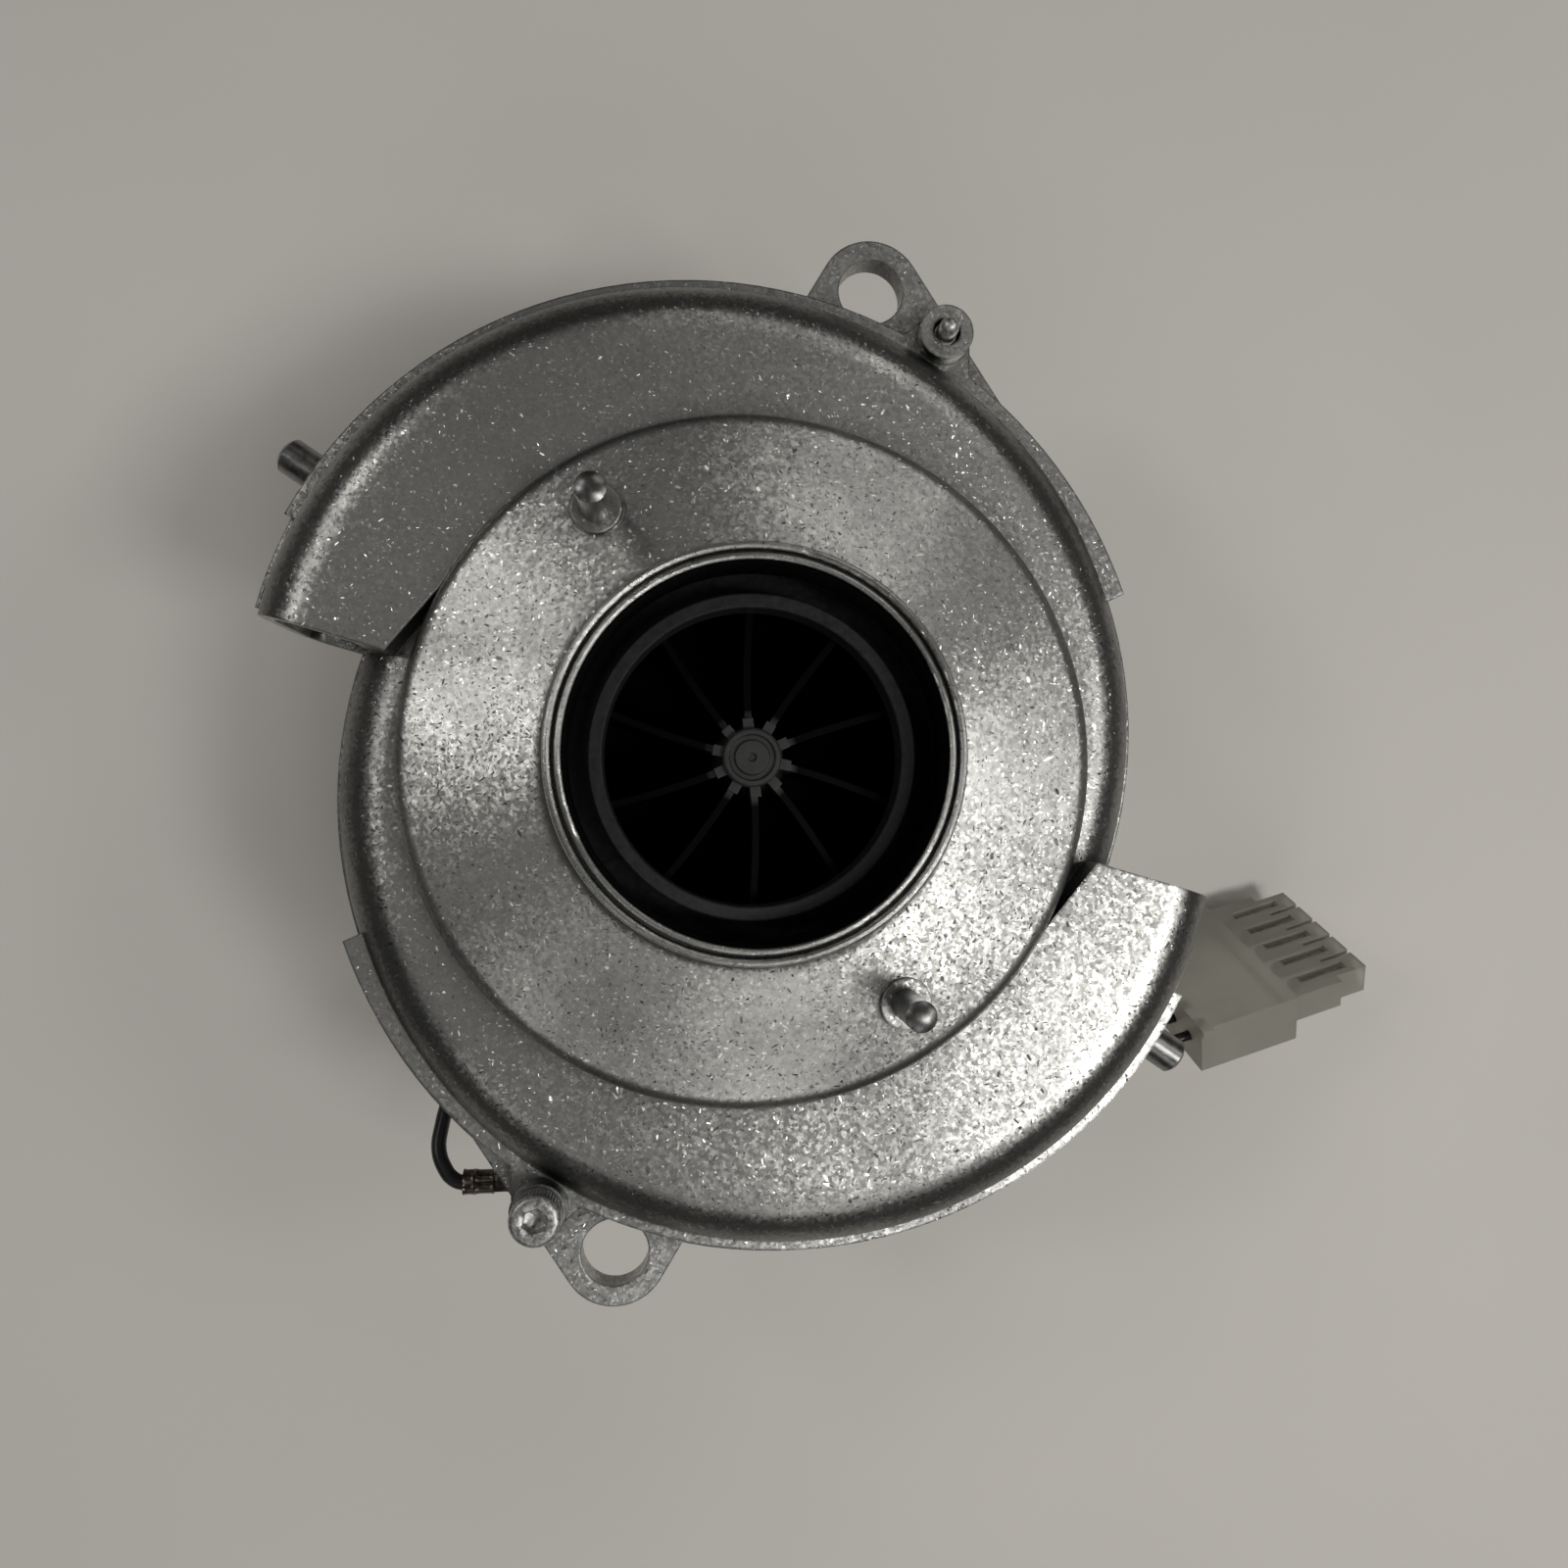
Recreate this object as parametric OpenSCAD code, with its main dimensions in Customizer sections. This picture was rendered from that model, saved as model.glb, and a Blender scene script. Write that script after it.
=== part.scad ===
// Radial blower with two opposed outlets, driven by a closed brushless motor.
// The motor stands on z = 0 with the fan axis on Z, and the inlet points up.
// Heights that end in _h are counted from the parting plane of the casing.

/* [Casing] */
// Height of the motor under the casing floor
motor_h = 46; // [45:0.5:55]
// Thickness of the casing floor
floor_t = 3; // [2.6:0.1:4]
// Depth of the scroll below the parting plane
scroll_depth = 13; // [12:0.5:16]
// Wall thickness of the cast shells
wall = 2.2; // [1.8:0.1:2.6]
// Radius of each volute's outer wall
volute_r = 62.6; // [62:0.1:63]
// Distance from the fan axis to each volute's centre
volute_offset = 7.5; // [7:0.1:8]
// Height of a volute's roof where it starts
roof_start_h = 5.5; // [5:0.1:6.5]
// Height of a volute's roof at its outlet
roof_end_h = 11; // [10:0.2:12]
// Radius of the rounded shoulder between roof and wall
shoulder_r = 8; // [6:0.5:9]
// Radius of the raised plateau over the impeller
rim_r = 47; // [46:0.2:48]
// Height of the plateau at its rim
rim_h = 11.8; // [11:0.1:13]
// Height of the plateau at the foot of the inlet
cone_top_h = 16.8; // [16:0.1:17.6]
// Radius of the plateau's rounded rim
rim_round = 2.6; // [2:0.2:3.2]
// Height of the cover's flange
cover_flange_t = 2.5; // [2:0.1:3]
// Height of the housing's flange
housing_flange_t = 3; // [2.4:0.1:4]
// Radius of the flange's edge
flange_r = 65; // [64.8:0.1:65.6]
// Distance from the fan axis to the centre of the flange's edge
flange_offset = 7.2; // [7:0.1:7.6]
// Reach of the housing's ledge round the outlets
ledge = 2.2; // [1.6:0.1:2.4]
// Turn of the outlet plane about the fan axis
casing_turn = -16.5; // [-30:0.5:0]

/* [Inlet] */
// Radius of the inlet bore
inlet_r = 23.5; // [23:0.1:24]
// Wall thickness of the inlet spigot
spigot_wall = 2.2; // [1.9:0.1:2.5]
// Height of the spigot's lip
spigot_h = 27; // [26:0.5:30]
// Length of the plain inlet bore
inlet_len = 8.5; // [7.5:0.1:8.9]
// Radius of the fillet at the spigot's foot
spigot_fillet = 3.5; // [2.5:0.5:4]

/* [Mountings] */
// Radius of the mounting holes in the ears
ear_hole_r = 4.75; // [4:0.05:5.2]
// Land round each mounting hole
ear_land = 2.8; // [2.4:0.05:3.6]
// Thickness of the ears
ear_t = 4; // [3:0.2:6]
// Radius of the screw bosses
boss_r = 3.9; // [3.7:0.1:4.4]
// Height of the cover's screw bosses
boss_up = 5; // [4:0.5:6]
// Depth of the housing's screw bosses
boss_down = 9; // [7:0.5:10]
// Radius of the locating dowels
dowel_r = 2; // [1.5:0.1:2.5]
// Distance of the dowels from the fan axis
dowel_rho = 38.3; // [37:0.1:39]
// Length of dowel that stands free
dowel_free = 10; // [6:0.5:12]
// Radius of the side pins
side_pin_r = 2.7; // [2:0.1:3.2]
// Length of side pin that stands free
side_pin_free = 7.2; // [5:0.2:10]
// Depth of the side pins' axis below the parting plane
side_pin_drop = 5; // [4.6:0.1:6]
// Radius of the casing screws
screw_r = 2; // [1.5:0.1:2.2]
// Radius of the casing screws' heads
head_r = 3.5; // [3.2:0.1:3.8]
// Height of the casing screws' heads
head_h = 4; // [3:0.2:5]
// Hexagon socket across flats
socket_af = 3; // [2.5:0.1:3.2]

/* [Impeller] */
// Outer radius of the impeller
impeller_r = 43; // [42:0.2:43.6]
// Number of blades
blade_count = 10; // [8:1:12]
// Thickness of the blades
blade_t = 0.9; // [0.8:0.1:1.4]
// Radius of the blades' curve
blade_curve = 100; // [80:1:120]
// Thickness of the back plate
back_t = 1.6; // [1.2:0.1:2]
// Gap between the casing floor and the back plate
back_gap = 3; // [2.6:0.1:3.6]
// Thickness of the front shroud
shroud_t = 1.4; // [1:0.1:1.8]
// Height of the shroud's outer edge
shroud_edge_h = 4.5; // [4:0.1:5.5]
// Height of the shroud's foot at the eye
shroud_top_h = 14; // [13.4:0.1:14.4]
// Inner radius of the eye ring
eye_r = 19.3; // [18.6:0.1:19.8]
// Wall of the eye ring
eye_wall = 1.9; // [1.4:0.1:2.1]
// Radius of the hub at its top
hub_r = 3.9; // [3.7:0.1:4.4]
// Height of the hub's top
hub_top_h = 16; // [15.5:0.1:17]
// Radius of the shaft in the hub
tip_r = 2; // [1.5:0.1:2.2]

/* [Motor] */
// Outer radius of the motor can
can_r = 31.5; // [31:0.5:34]
// Wall of the motor can
can_wall = 1.5; // [1.2:0.1:1.8]
// Thickness of the end cap
cap_t = 4; // [3.8:0.1:5]
// Radius of the shaft in its bearings
shaft_r = 2.5; // [2.3:0.1:2.7]
// Outer radius of the ball bearings
bearing_r = 8; // [7.8:0.1:8.4]
// Width of the ball bearings
bearing_w = 5; // [4.6:0.1:5.4]
// Height of the stator's sheet stack
stack_h = 14; // [10:0.5:15]
// Outer radius of the magnet ring
magnet_r = 13.8; // [13:0.1:14.2]
// Radial thickness of the magnet ring
magnet_t = 3.8; // [3:0.1:4.2]
// Gap between magnet and stator
air_gap = 0.6; // [0.4:0.1:0.8]
// Number of stator teeth
tooth_count = 9; // [6:3:9]
// Width of the stator teeth
tooth_w = 5; // [4:0.1:5.2]

/* [Leads] */
// Diameter of the motor wires
wire_d = 1.8; // [1.4:0.1:1.9]
// Diameter of the earth lead
earth_d = 2.2; // [1.6:0.1:2.4]
// Length of the plug
plug_l = 34.3; // [33:0.1:38]
// Length of the plug's full-height body
plug_body_l = 19; // [17:0.5:21]
// Width of the plug
plug_w = 29; // [28.6:0.1:29.3]
// Height of the plug
plug_t = 9.9; // [9:0.1:10.5]

/* [Hidden] */
$fn = 64;
// clearance of pressed and welded joints, which still lie apart
fit = 0.02;
// clearance of rolling and turning joints
run = 0.05;
// overrun of cutting tools past a face
over = 1;
floor_z = motor_h + floor_t;
parting_z = floor_z + scroll_depth;
reach = 100;
cover_room = spigot_h + 10;

// the two volutes, in a frame whose X axis lies along the outlet plane
volute_dir = 155.2;
flange_dir = 164.5;
flange_from = 40.5;
flange_to = 168.3;
ledge_to = 179;
ear_at = 91.5;
boss_at = 81.5;
pin_at = 162.3;
dowel_at = 138.5;
tongue_at = 166;
volute_c = [volute_offset * cos(volute_dir), volute_offset * sin(volute_dir)];
function circle_reach(r, offset, dir, a) =
  offset * cos(a - dir) + sqrt(r * r - pow(offset * sin(a - dir), 2));
function volute_reach(a) = circle_reach(volute_r, volute_offset, volute_dir, a);
function flange_reach(a) = circle_reach(flange_r, flange_offset, flange_dir, a);
start_r = volute_reach(0);
end_r = volute_reach(180);
valley_r = start_r - 5.5;
roof_slope = (roof_end_h - roof_start_h) / (end_r + start_r - 15);
roof_tilt = atan(roof_slope);
roof_mid_h = roof_start_h + roof_slope * (start_r - 4 - volute_c[0]);
function polar(r, a) = [r * cos(a), r * sin(a)];
tongue_tip = polar(rim_r - 0.2, tongue_at);
tongue_l = tongue_tip[1];
valley_inner_r = rim_r - wall - 3;
housing_round = 5;
ear_rho = flange_reach(ear_at) + ear_hole_r + 0.1;
ear_r = ear_hole_r + ear_land;
ear_leans = [16, 48];
boss_lean = 25;
boss_rho = flange_reach(boss_at) + 2.5;
pin_face = flange_reach(pin_at);
pin_seat = volute_reach(pin_at) - wall + 1;
pin_boss_r = side_pin_r + 1.8;
pin_chamfer = 0.5;
shank_step = 0.4;
// rounded point of the screw that comes up through its boss
point_r = 1.4;
point_l = 4;
point_sunk = 1;

// the plateau cone and the inlet
foot_r = inlet_r + spigot_wall;
cone_slope = (cone_top_h - rim_h) / (rim_r - foot_r - spigot_fillet);
cone_a = atan(cone_slope);
function cone_h(r) = cone_top_h - (r - foot_r - spigot_fillet) * cone_slope;
inlet_low_r = inlet_r + 0.5;
inlet_low_h = spigot_h - inlet_len;
bead_r = 0.55;
lip_flare = 0.3;
collar_r = dowel_r + 1.4;
collar_h = cone_h(dowel_rho - collar_r) + 0.5;
dowel_seat_h = cone_h(dowel_rho + dowel_r) - wall + 0.9;

// the impeller and its shaft
back_z = floor_z + back_gap;
hub_z = floor_z + 1;
hub_foot_r = 6.5;
eye_top_h = inlet_low_h - 0.5;
shroud_slope = (shroud_top_h - shroud_edge_h) / (impeller_r - eye_r - eye_wall);
shroud_drop = shroud_t / cos(atan(shroud_slope));
function shroud_h(r) = shroud_top_h - (r - eye_r - eye_wall) * shroud_slope;
blade_turn = 24;
root_h = hub_top_h - 1.5;
hub_roof = 2.2;

// the motor
can_in = can_r - can_wall;
front_bearing_z = motor_h - 2 - bearing_w;
rear_bearing_z = cap_t + 3;
spring_t = 1;
bearing_boss_r = bearing_r + 3;
race_in = shaft_r + 1.6;
race_out = bearing_r - 1.6;
ball_pitch = (shaft_r + bearing_r) / 2;
ball_r = 1.5;
ball_count = 8;
core_r = magnet_r - magnet_t - fit;
bore_r = magnet_r + air_gap;
shoe_t = 2;
yoke_t = 4;
rotor_mid_z = motor_h - 17;
stack_z = rotor_mid_z - stack_h / 2;
magnet_h = stack_h + 3;
core_h = stack_h + 2;
sleeve_r = shaft_r + 1.3;
coil_end = 3.5;
liner = 0.6;
coil_in = bore_r + shoe_t + 0.6;
coil_out = can_in - yoke_t - 0.8;
board_t = 1.6;
board_z = cap_t + 7;
board_r = can_in - 2;
post_rho = board_r - 4;
can_screw_rho = 20;
can_screw_r = 1.5;
can_head_r = 3.1;
can_head_h = 1.6;
small_screw_r = 1.1;
small_head_r = 2.2;
small_head_h = 1.4;
cap_lip_h = 4;
cap_screw_z = cap_t + cap_lip_h / 2;

// the leads: routes of hand-chosen points, and the plug's place on the table
wire_count = 5;
plug_turn = [-59, 2, 16.5];
plug_lift = plug_w * sin(-plug_turn[0]) * cos(plug_turn[1]) + plug_body_l * sin(plug_turn[1]);
plug_at = [84.3, -53.9, plug_lift + fit];
plug_pitch = 5.08;
wire_pitch = 2.1;
lead_turn = -55;
lead_z = 16;
wire_in_plug = 3;
plug_axis_h = 5;
plug_lip = 0.6;
lip_h = 1.4;
nose_l = plug_l - plug_body_l;
silo_w = plug_pitch - 0.9;
silo_h = 5.8;
silo_z = plug_t - silo_h - 0.4;
contact_x = plug_body_l + 2;
contact_w = 2.8;
contact_h = 3.4;
contact_t = 0.4;
contact_z = silo_z + 1.2;
earth_turn = 215;
earth_z = 36;
earth_bush_r = 2.1;
window_w = 4;
window_h = (wire_count + 1) * wire_pitch;
washer_r = 4.2;
relief = 0.3;
terminal_t = 0.8;
terminal_r = washer_r - 0.4;
barrel_r = 1.75;
barrel_x = 8;
barrel_l = 4.4;
washer_t = 0.8;
nut_t = 3.2;
nut_af = 7;

// Shared helpers

module casing_frame() { rotate([0, 0, casing_turn]) children(); }
module both_sides() { for (k = [0, 180]) rotate([0, 0, k]) children(); }
module around(n, phase = 0) { for (k = [0:n - 1]) rotate([0, 0, phase + k * 360 / n]) children(); }
module at_polar(r, a) { rotate([0, 0, a]) translate([r, 0, 0]) children(); }
module ring(r_out, r_in, h) {
  rotate_extrude() translate([r_in, 0]) square([r_out - r_in, h]);
}
module cap_screw(length) {
  difference() {
    union() {
      cylinder(r = head_r, h = head_h);
      translate([0, 0, -length]) cylinder(r = screw_r - fit, h = length + over);
    }
    translate([0, 0, head_h / 2]) cylinder(r = socket_af / sqrt(3), h = head_h, $fn = 6);
  }
}
// Lug outline along X: a round end at rho and straight tangent sides that lean out towards the axis,
// each by its own angle
module lug_outline(rho, r, root, leans) {
  translate([rho, 0]) circle(r = r);
  for (k = [0, 1]) mirror([0, k]) {
    lean = leans[k];
    side = (rho + r * sin(lean) - root) / cos(lean);
    polygon([
      [root, 0], [rho, 0], [rho + r * sin(lean), r * cos(lean)], [root, r * cos(lean) + side * sin(lean)]
    ]);
  }
}

// Casing outlines in plan

module valley_plan() {
  polygon([tongue_tip, [-valley_r, 0], [-valley_inner_r, 0], polar(valley_inner_r, tongue_at)]);
}
module tongue_plan() {
  polygon([tongue_tip, [-start_r, -over], [-valley_inner_r, -over], polar(valley_inner_r, tongue_at)]);
}
module sector_plan(from, to) {
  mid = (from + to) / 2;
  far = 2 * reach;
  polygon([[0, 0], polar(far, from), polar(far, mid), polar(far, to)]);
}
module flange_plan() {
  intersection() {
    translate(polar(flange_offset, flange_dir)) circle(r = flange_r);
    sector_plan(flange_from, flange_to);
  }
}

module ledge_plan() {
  intersection() {
    translate(volute_c) circle(r = volute_r + ledge);
    sector_plan(flange_from, ledge_to);
  }
}

// Casing solids

module arch_profile(inset) {
  translate([0, -scroll_depth]) square([volute_r - shoulder_r, roof_mid_h - inset + scroll_depth]);
  translate([0, -scroll_depth]) square([volute_r - inset, roof_mid_h - shoulder_r + scroll_depth]);
  translate([volute_r - shoulder_r, roof_mid_h - shoulder_r]) circle(r = shoulder_r - inset);
}
module arch(inset) {
  translate([volute_c[0], volute_c[1], parting_z])
    rotate([0, roof_tilt, 0]) rotate_extrude() arch_profile(inset);
}
module pan_profile(inset, top) {
  r = housing_round - inset;
  low = (inset > 0) ? floor_z : motor_h;
  edge = volute_r - inset;
  translate([0, low]) square([edge - r, top - low]);
  translate([0, low + r]) square([edge, top - low - r]);
  translate([edge - r, low + r]) circle(r = r);
}
module pan(inset, top) {
  translate([volute_c[0], volute_c[1], 0]) rotate_extrude() pan_profile(inset, top);
}
// One scroll's half of a solid of revolution, less the valley that the other scroll starts in,
// with its own start carried on under that scroll's outlet
module scroll_half(low, high) {
  difference() {
    intersection() {
      children();
      union() {
        translate([-reach, 0, low]) cube([2 * reach, reach, high - low]);
        translate([valley_inner_r, -tongue_l, low])
          cube([start_r - wall - valley_inner_r, tongue_l + over, high - low]);
      }
    }
    translate([0, 0, low - over]) linear_extrude(high - low + 2 * over) valley_plan();
  }
}
// The air passage of one scroll, which leaves the tongue standing and runs out of the outlet
module duct_half(low, high) {
  difference() {
    intersection() {
      children();
      union() {
        translate([-reach, 0, low]) cube([2 * reach, reach, high - low]);
        translate([-reach, -over, low]) cube([reach - start_r, 2 * over, high - low]);
      }
    }
    translate([0, 0, low - over]) linear_extrude(high - low + 2 * over) tongue_plan();
  }
}
// Plateau and spigot in section; inset shells it from below
module plateau_profile(inset) {
  r = rim_round - inset * 0.6;
  edge = rim_r - inset;
  drop = inset / cos(cone_a);
  mid = [edge - r, cone_h(edge - r) - drop - r / cos(cone_a)];
  translate(mid) circle(r = r);
  polygon([
    [0, -over], [edge, -over], [edge, mid[1]],
    mid + r * [sin(cone_a), cos(cone_a)], [foot_r - spigot_wall, cone_h(foot_r - spigot_wall) - drop],
    [0, cone_h(foot_r - spigot_wall) - drop]
  ]);
}
module spigot_profile() {
  mid = [foot_r + spigot_fillet, cone_h(foot_r + spigot_fillet) + spigot_fillet / cos(cone_a)];
  lip = spigot_h - bead_r;
  translate([inlet_r, 0]) square([2 * bead_r, lip]);
  translate([foot_r - 2 * bead_r + lip_flare, 0]) square([2 * bead_r - lip_flare, lip]);
  translate([inlet_r, 0]) square([spigot_wall, lip - bead_r]);
  translate([inlet_r + bead_r, lip]) circle(r = bead_r);
  translate([foot_r - bead_r + lip_flare, lip]) circle(r = bead_r);
  difference() {
    polygon([
      [inlet_r, mid[1]], mid, mid - spigot_fillet * [sin(cone_a), cos(cone_a)],
      [inlet_r, cone_h(foot_r + spigot_fillet)]
    ]);
    translate(mid) circle(r = spigot_fillet);
  }
}
module inlet_cut_profile() {
  square([inlet_r, cover_room]);
  square([inlet_low_r, inlet_low_h]);
}

module scroll_cover() color("silver") casing_frame() difference() {
  union() {
    translate([0, 0, parting_z]) rotate_extrude() difference() {
      union() {
        plateau_profile(0);
        spigot_profile();
      }
      translate([0, -2 * over]) square([reach, 2 * over]);
    }
    both_sides() {
      scroll_half(parting_z, parting_z + cover_room) arch(0);
      translate([0, 0, parting_z]) {
        linear_extrude(cover_flange_t) flange_plan();
        at_polar(boss_rho, boss_at) cylinder(r = boss_r, h = boss_up);
        rotate([0, 0, boss_at]) linear_extrude(cover_flange_t)
          lug_outline(boss_rho, boss_r, start_r + over, [boss_lean, boss_lean]);
        at_polar(dowel_rho, dowel_at) translate([0, 0, dowel_seat_h])
          cylinder(r = collar_r, h = collar_h - dowel_seat_h);
      }
    }
  }
  translate([0, 0, parting_z]) rotate_extrude() {
    plateau_profile(wall);
    inlet_cut_profile();
  }
  both_sides() {
    duct_half(parting_z - over, parting_z + cover_room) arch(wall);
    at_polar(boss_rho, boss_at) translate([0, 0, parting_z - over])
      cylinder(r = screw_r, h = boss_up + 2 * over);
    at_polar(dowel_rho, dowel_at) translate([0, 0, parting_z + dowel_seat_h])
      cylinder(r = dowel_r - shank_step + fit, h = collar_h);
  }
}

module scroll_housing() color("silver") casing_frame() difference() {
  union() {
    both_sides() {
      scroll_half(0, parting_z) pan(0, parting_z);
      translate([0, 0, parting_z - housing_flange_t]) linear_extrude(housing_flange_t) {
        flange_plan();
        ledge_plan();
      }
      rotate([0, 0, ear_at]) translate([0, 0, parting_z - ear_t]) linear_extrude(ear_t)
        lug_outline(ear_rho, ear_r, start_r + over, ear_leans);
      rotate([0, 0, boss_at]) translate([0, 0, parting_z - boss_down]) linear_extrude(boss_down)
        lug_outline(boss_rho, boss_r, start_r + over, [boss_lean, boss_lean]);
      rotate([0, 0, pin_at]) translate([pin_face, 0, parting_z - side_pin_drop]) rotate([0, -90, 0])
        cylinder(r = pin_boss_r, h = pin_face - pin_seat + over);
    }
    translate([0, 0, front_bearing_z]) cylinder(r = bearing_boss_r, h = motor_h - front_bearing_z + over);
  }
  both_sides() {
    duct_half(0, parting_z + over) pan(wall, parting_z + over);
    at_polar(ear_rho, ear_at) translate([0, 0, parting_z - ear_t - scroll_depth])
      cylinder(r = ear_hole_r, h = ear_t + 2 * scroll_depth);
    at_polar(boss_rho, boss_at) {
      translate([0, 0, parting_z - boss_down - over]) cylinder(r = screw_r, h = boss_down + 2 * over);
      cylinder(r = washer_r + relief, h = parting_z - boss_down);
    }
    rotate([0, 0, pin_at]) translate([pin_seat, 0, parting_z - side_pin_drop]) rotate([0, 90, 0])
      cylinder(r = side_pin_r - shank_step + fit, h = reach);
  }
  translate([0, 0, parting_z]) mirror([0, 0, 1]) cylinder(r = rim_r - wall, h = scroll_depth);
  translate([0, 0, front_bearing_z - over]) cylinder(r = bearing_r, h = bearing_w + over);
  translate([0, 0, front_bearing_z]) cylinder(r = sleeve_r + 1.2, h = motor_h);
  around(4, 45) translate([can_screw_rho, 0, 0]) can_screw_cut();
  translate([0, 0, parting_z]) cylinder(r = 2 * reach, h = reach);
}

// Countersunk seat of one screw that holds the can under the floor
module can_screw_cut() {
  translate([0, 0, floor_z - can_head_h]) cylinder(r1 = can_screw_r, r2 = can_head_r, h = can_head_h);
  translate([0, 0, motor_h - over]) cylinder(r = can_screw_r, h = floor_t);
}

module locating_dowels() color("gainsboro") casing_frame() both_sides()
  at_polar(dowel_rho, dowel_at) translate([0, 0, parting_z]) rotate_extrude() {
    translate([0, dowel_seat_h]) square([dowel_r - shank_step, collar_h - dowel_seat_h + over]);
    intersection() {
      translate([0, collar_h + dowel_free - 2 * dowel_r]) circle(r = 2 * dowel_r);
      translate([0, collar_h + dowel_free - dowel_r]) square([dowel_r, dowel_r]);
    }
    translate([0, collar_h + fit]) square([dowel_r, dowel_free - dowel_r]);
  }

module side_pins() color("gainsboro") casing_frame() both_sides()
  rotate([0, 0, pin_at]) translate([pin_face, 0, parting_z - side_pin_drop]) rotate([0, 90, 0])
    rotate_extrude() {
      edge = side_pin_free - pin_chamfer;
      translate([0, pin_seat - pin_face]) square([side_pin_r - shank_step, pin_face - pin_seat + over]);
      polygon([
        [0, fit], [side_pin_r, fit], [side_pin_r, edge],
        [side_pin_r - pin_chamfer, side_pin_free], [0, side_pin_free]
      ]);
    }

module front_casing_screw() color("lightgrey") casing_frame()
  at_polar(boss_rho, boss_at + 180) translate([0, 0, parting_z + boss_up])
    cap_screw(boss_up + boss_down + terminal_t + washer_t + nut_t + over);

module rear_casing_screw() color("lightgrey") casing_frame()
  at_polar(boss_rho, boss_at) translate([0, 0, parting_z - boss_down]) mirror([0, 0, 1])
    {
      length = boss_up + boss_down - point_sunk;
      cap_screw(length);
      translate([0, 0, -length]) mirror([0, 0, 1]) rotate_extrude() {
        translate([0, -over]) square([point_r, point_l + over - point_r]);
        intersection() {
          translate([0, point_l - point_r]) circle(r = point_r);
          translate([0, -over]) square([point_r, point_l + 2 * over]);
        }
      }
    }

// Earth terminal under the lower left boss

module at_earth() {
  casing_frame() at_polar(boss_rho, boss_at + 180) translate([0, 0, parting_z - boss_down])
    rotate([0, 0, -casing_turn - boss_at]) children();
}
module earth_terminal() color("goldenrod") at_earth() {
  translate([0, 0, -terminal_t]) linear_extrude(terminal_t) difference() {
    union() {
      circle(r = terminal_r);
      translate([0, -1.6]) square([barrel_x + over, 3.2]);
    }
    circle(r = screw_r + run);
  }
  translate([barrel_x, 0, -terminal_t]) rotate([0, 90, 0]) difference() {
    cylinder(r = barrel_r, h = barrel_l);
    translate([0, 0, over]) cylinder(r = earth_d / 2 + run, h = barrel_l);
  }
}
module earth_washer() color("lightgrey") at_earth() translate([0, 0, -terminal_t - washer_t])
  ring(washer_r, screw_r + run, washer_t);
module earth_nut() color("lightgrey") at_earth() translate([0, 0, -terminal_t - washer_t - nut_t])
  difference() {
    cylinder(r = nut_af / sqrt(3), h = nut_t, $fn = 6);
    translate([0, 0, -over]) cylinder(r = screw_r, h = nut_t + 2 * over);
  }

// Impeller: a blade disc with its hub, and a conical front shroud welded on top

module blade_plan() {
  intersection() {
    translate([0, -blade_curve]) difference() {
      circle(r = blade_curve + blade_t / 2, $fn = 128);
      circle(r = blade_curve - blade_t / 2, $fn = 128);
    }
    translate([tip_r + over, -impeller_r]) square([impeller_r, impeller_r + over]);
  }
}
module blade_profile() {
  gap = shroud_drop + fit;
  polygon([
    [tip_r + over, back_z - parting_z], [impeller_r, back_z - parting_z],
    [impeller_r, shroud_h(impeller_r) - gap], [eye_r, shroud_h(eye_r) - gap],
    [hub_r - 0.4, root_h - 0.7], [tip_r + over, root_h - 0.7]
  ]);
}
module hub_profile() {
  foot = hub_z - parting_z;
  deck = back_z + back_t - parting_z;
  polygon([
    [tip_r, foot], [hub_foot_r, foot], [hub_foot_r, deck + 2], [hub_r, root_h - 1],
    [hub_r, hub_top_h - 0.3], [hub_r - 0.3, hub_top_h], [hub_r - 0.8, hub_top_h],
    [hub_r - 1, hub_top_h - 0.5], [hub_r - 1.5, hub_top_h - 0.5], [hub_r - 1.7, hub_top_h],
    [0.6, hub_top_h], [0.5, hub_top_h - 0.5], [0, hub_top_h - 0.5],
    [0, hub_top_h - hub_roof], [tip_r, hub_top_h - hub_roof]
  ]);
}
module impeller_disc() color("dimgray") {
  translate([0, 0, back_z]) ring(impeller_r, hub_foot_r - over, back_t);
  translate([0, 0, parting_z]) {
    rotate_extrude() hub_profile();
    around(blade_count, blade_turn) translate([hub_r - 0.3, -0.7, root_h - 1.3])
      cube([1.6, 1.4, 1.9]);
    intersection() {
      rotate_extrude() blade_profile();
      around(blade_count, blade_turn) translate([0, 0, back_z - parting_z])
        linear_extrude(cover_room + scroll_depth) blade_plan();
    }
  }
}
module impeller_shroud() color("dimgray") translate([0, 0, parting_z]) rotate_extrude() {
  out = eye_r + eye_wall;
  polygon([
    [eye_r, eye_top_h - 0.2], [eye_r + 0.2, eye_top_h], [out - 0.2, eye_top_h], [out, eye_top_h - 0.2],
    [out, shroud_top_h], [impeller_r, shroud_edge_h],
    [impeller_r, shroud_edge_h - shroud_drop], [eye_r, shroud_h(eye_r) - shroud_drop]
  ]);
}

// Shaft, sleeves and bearings

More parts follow.
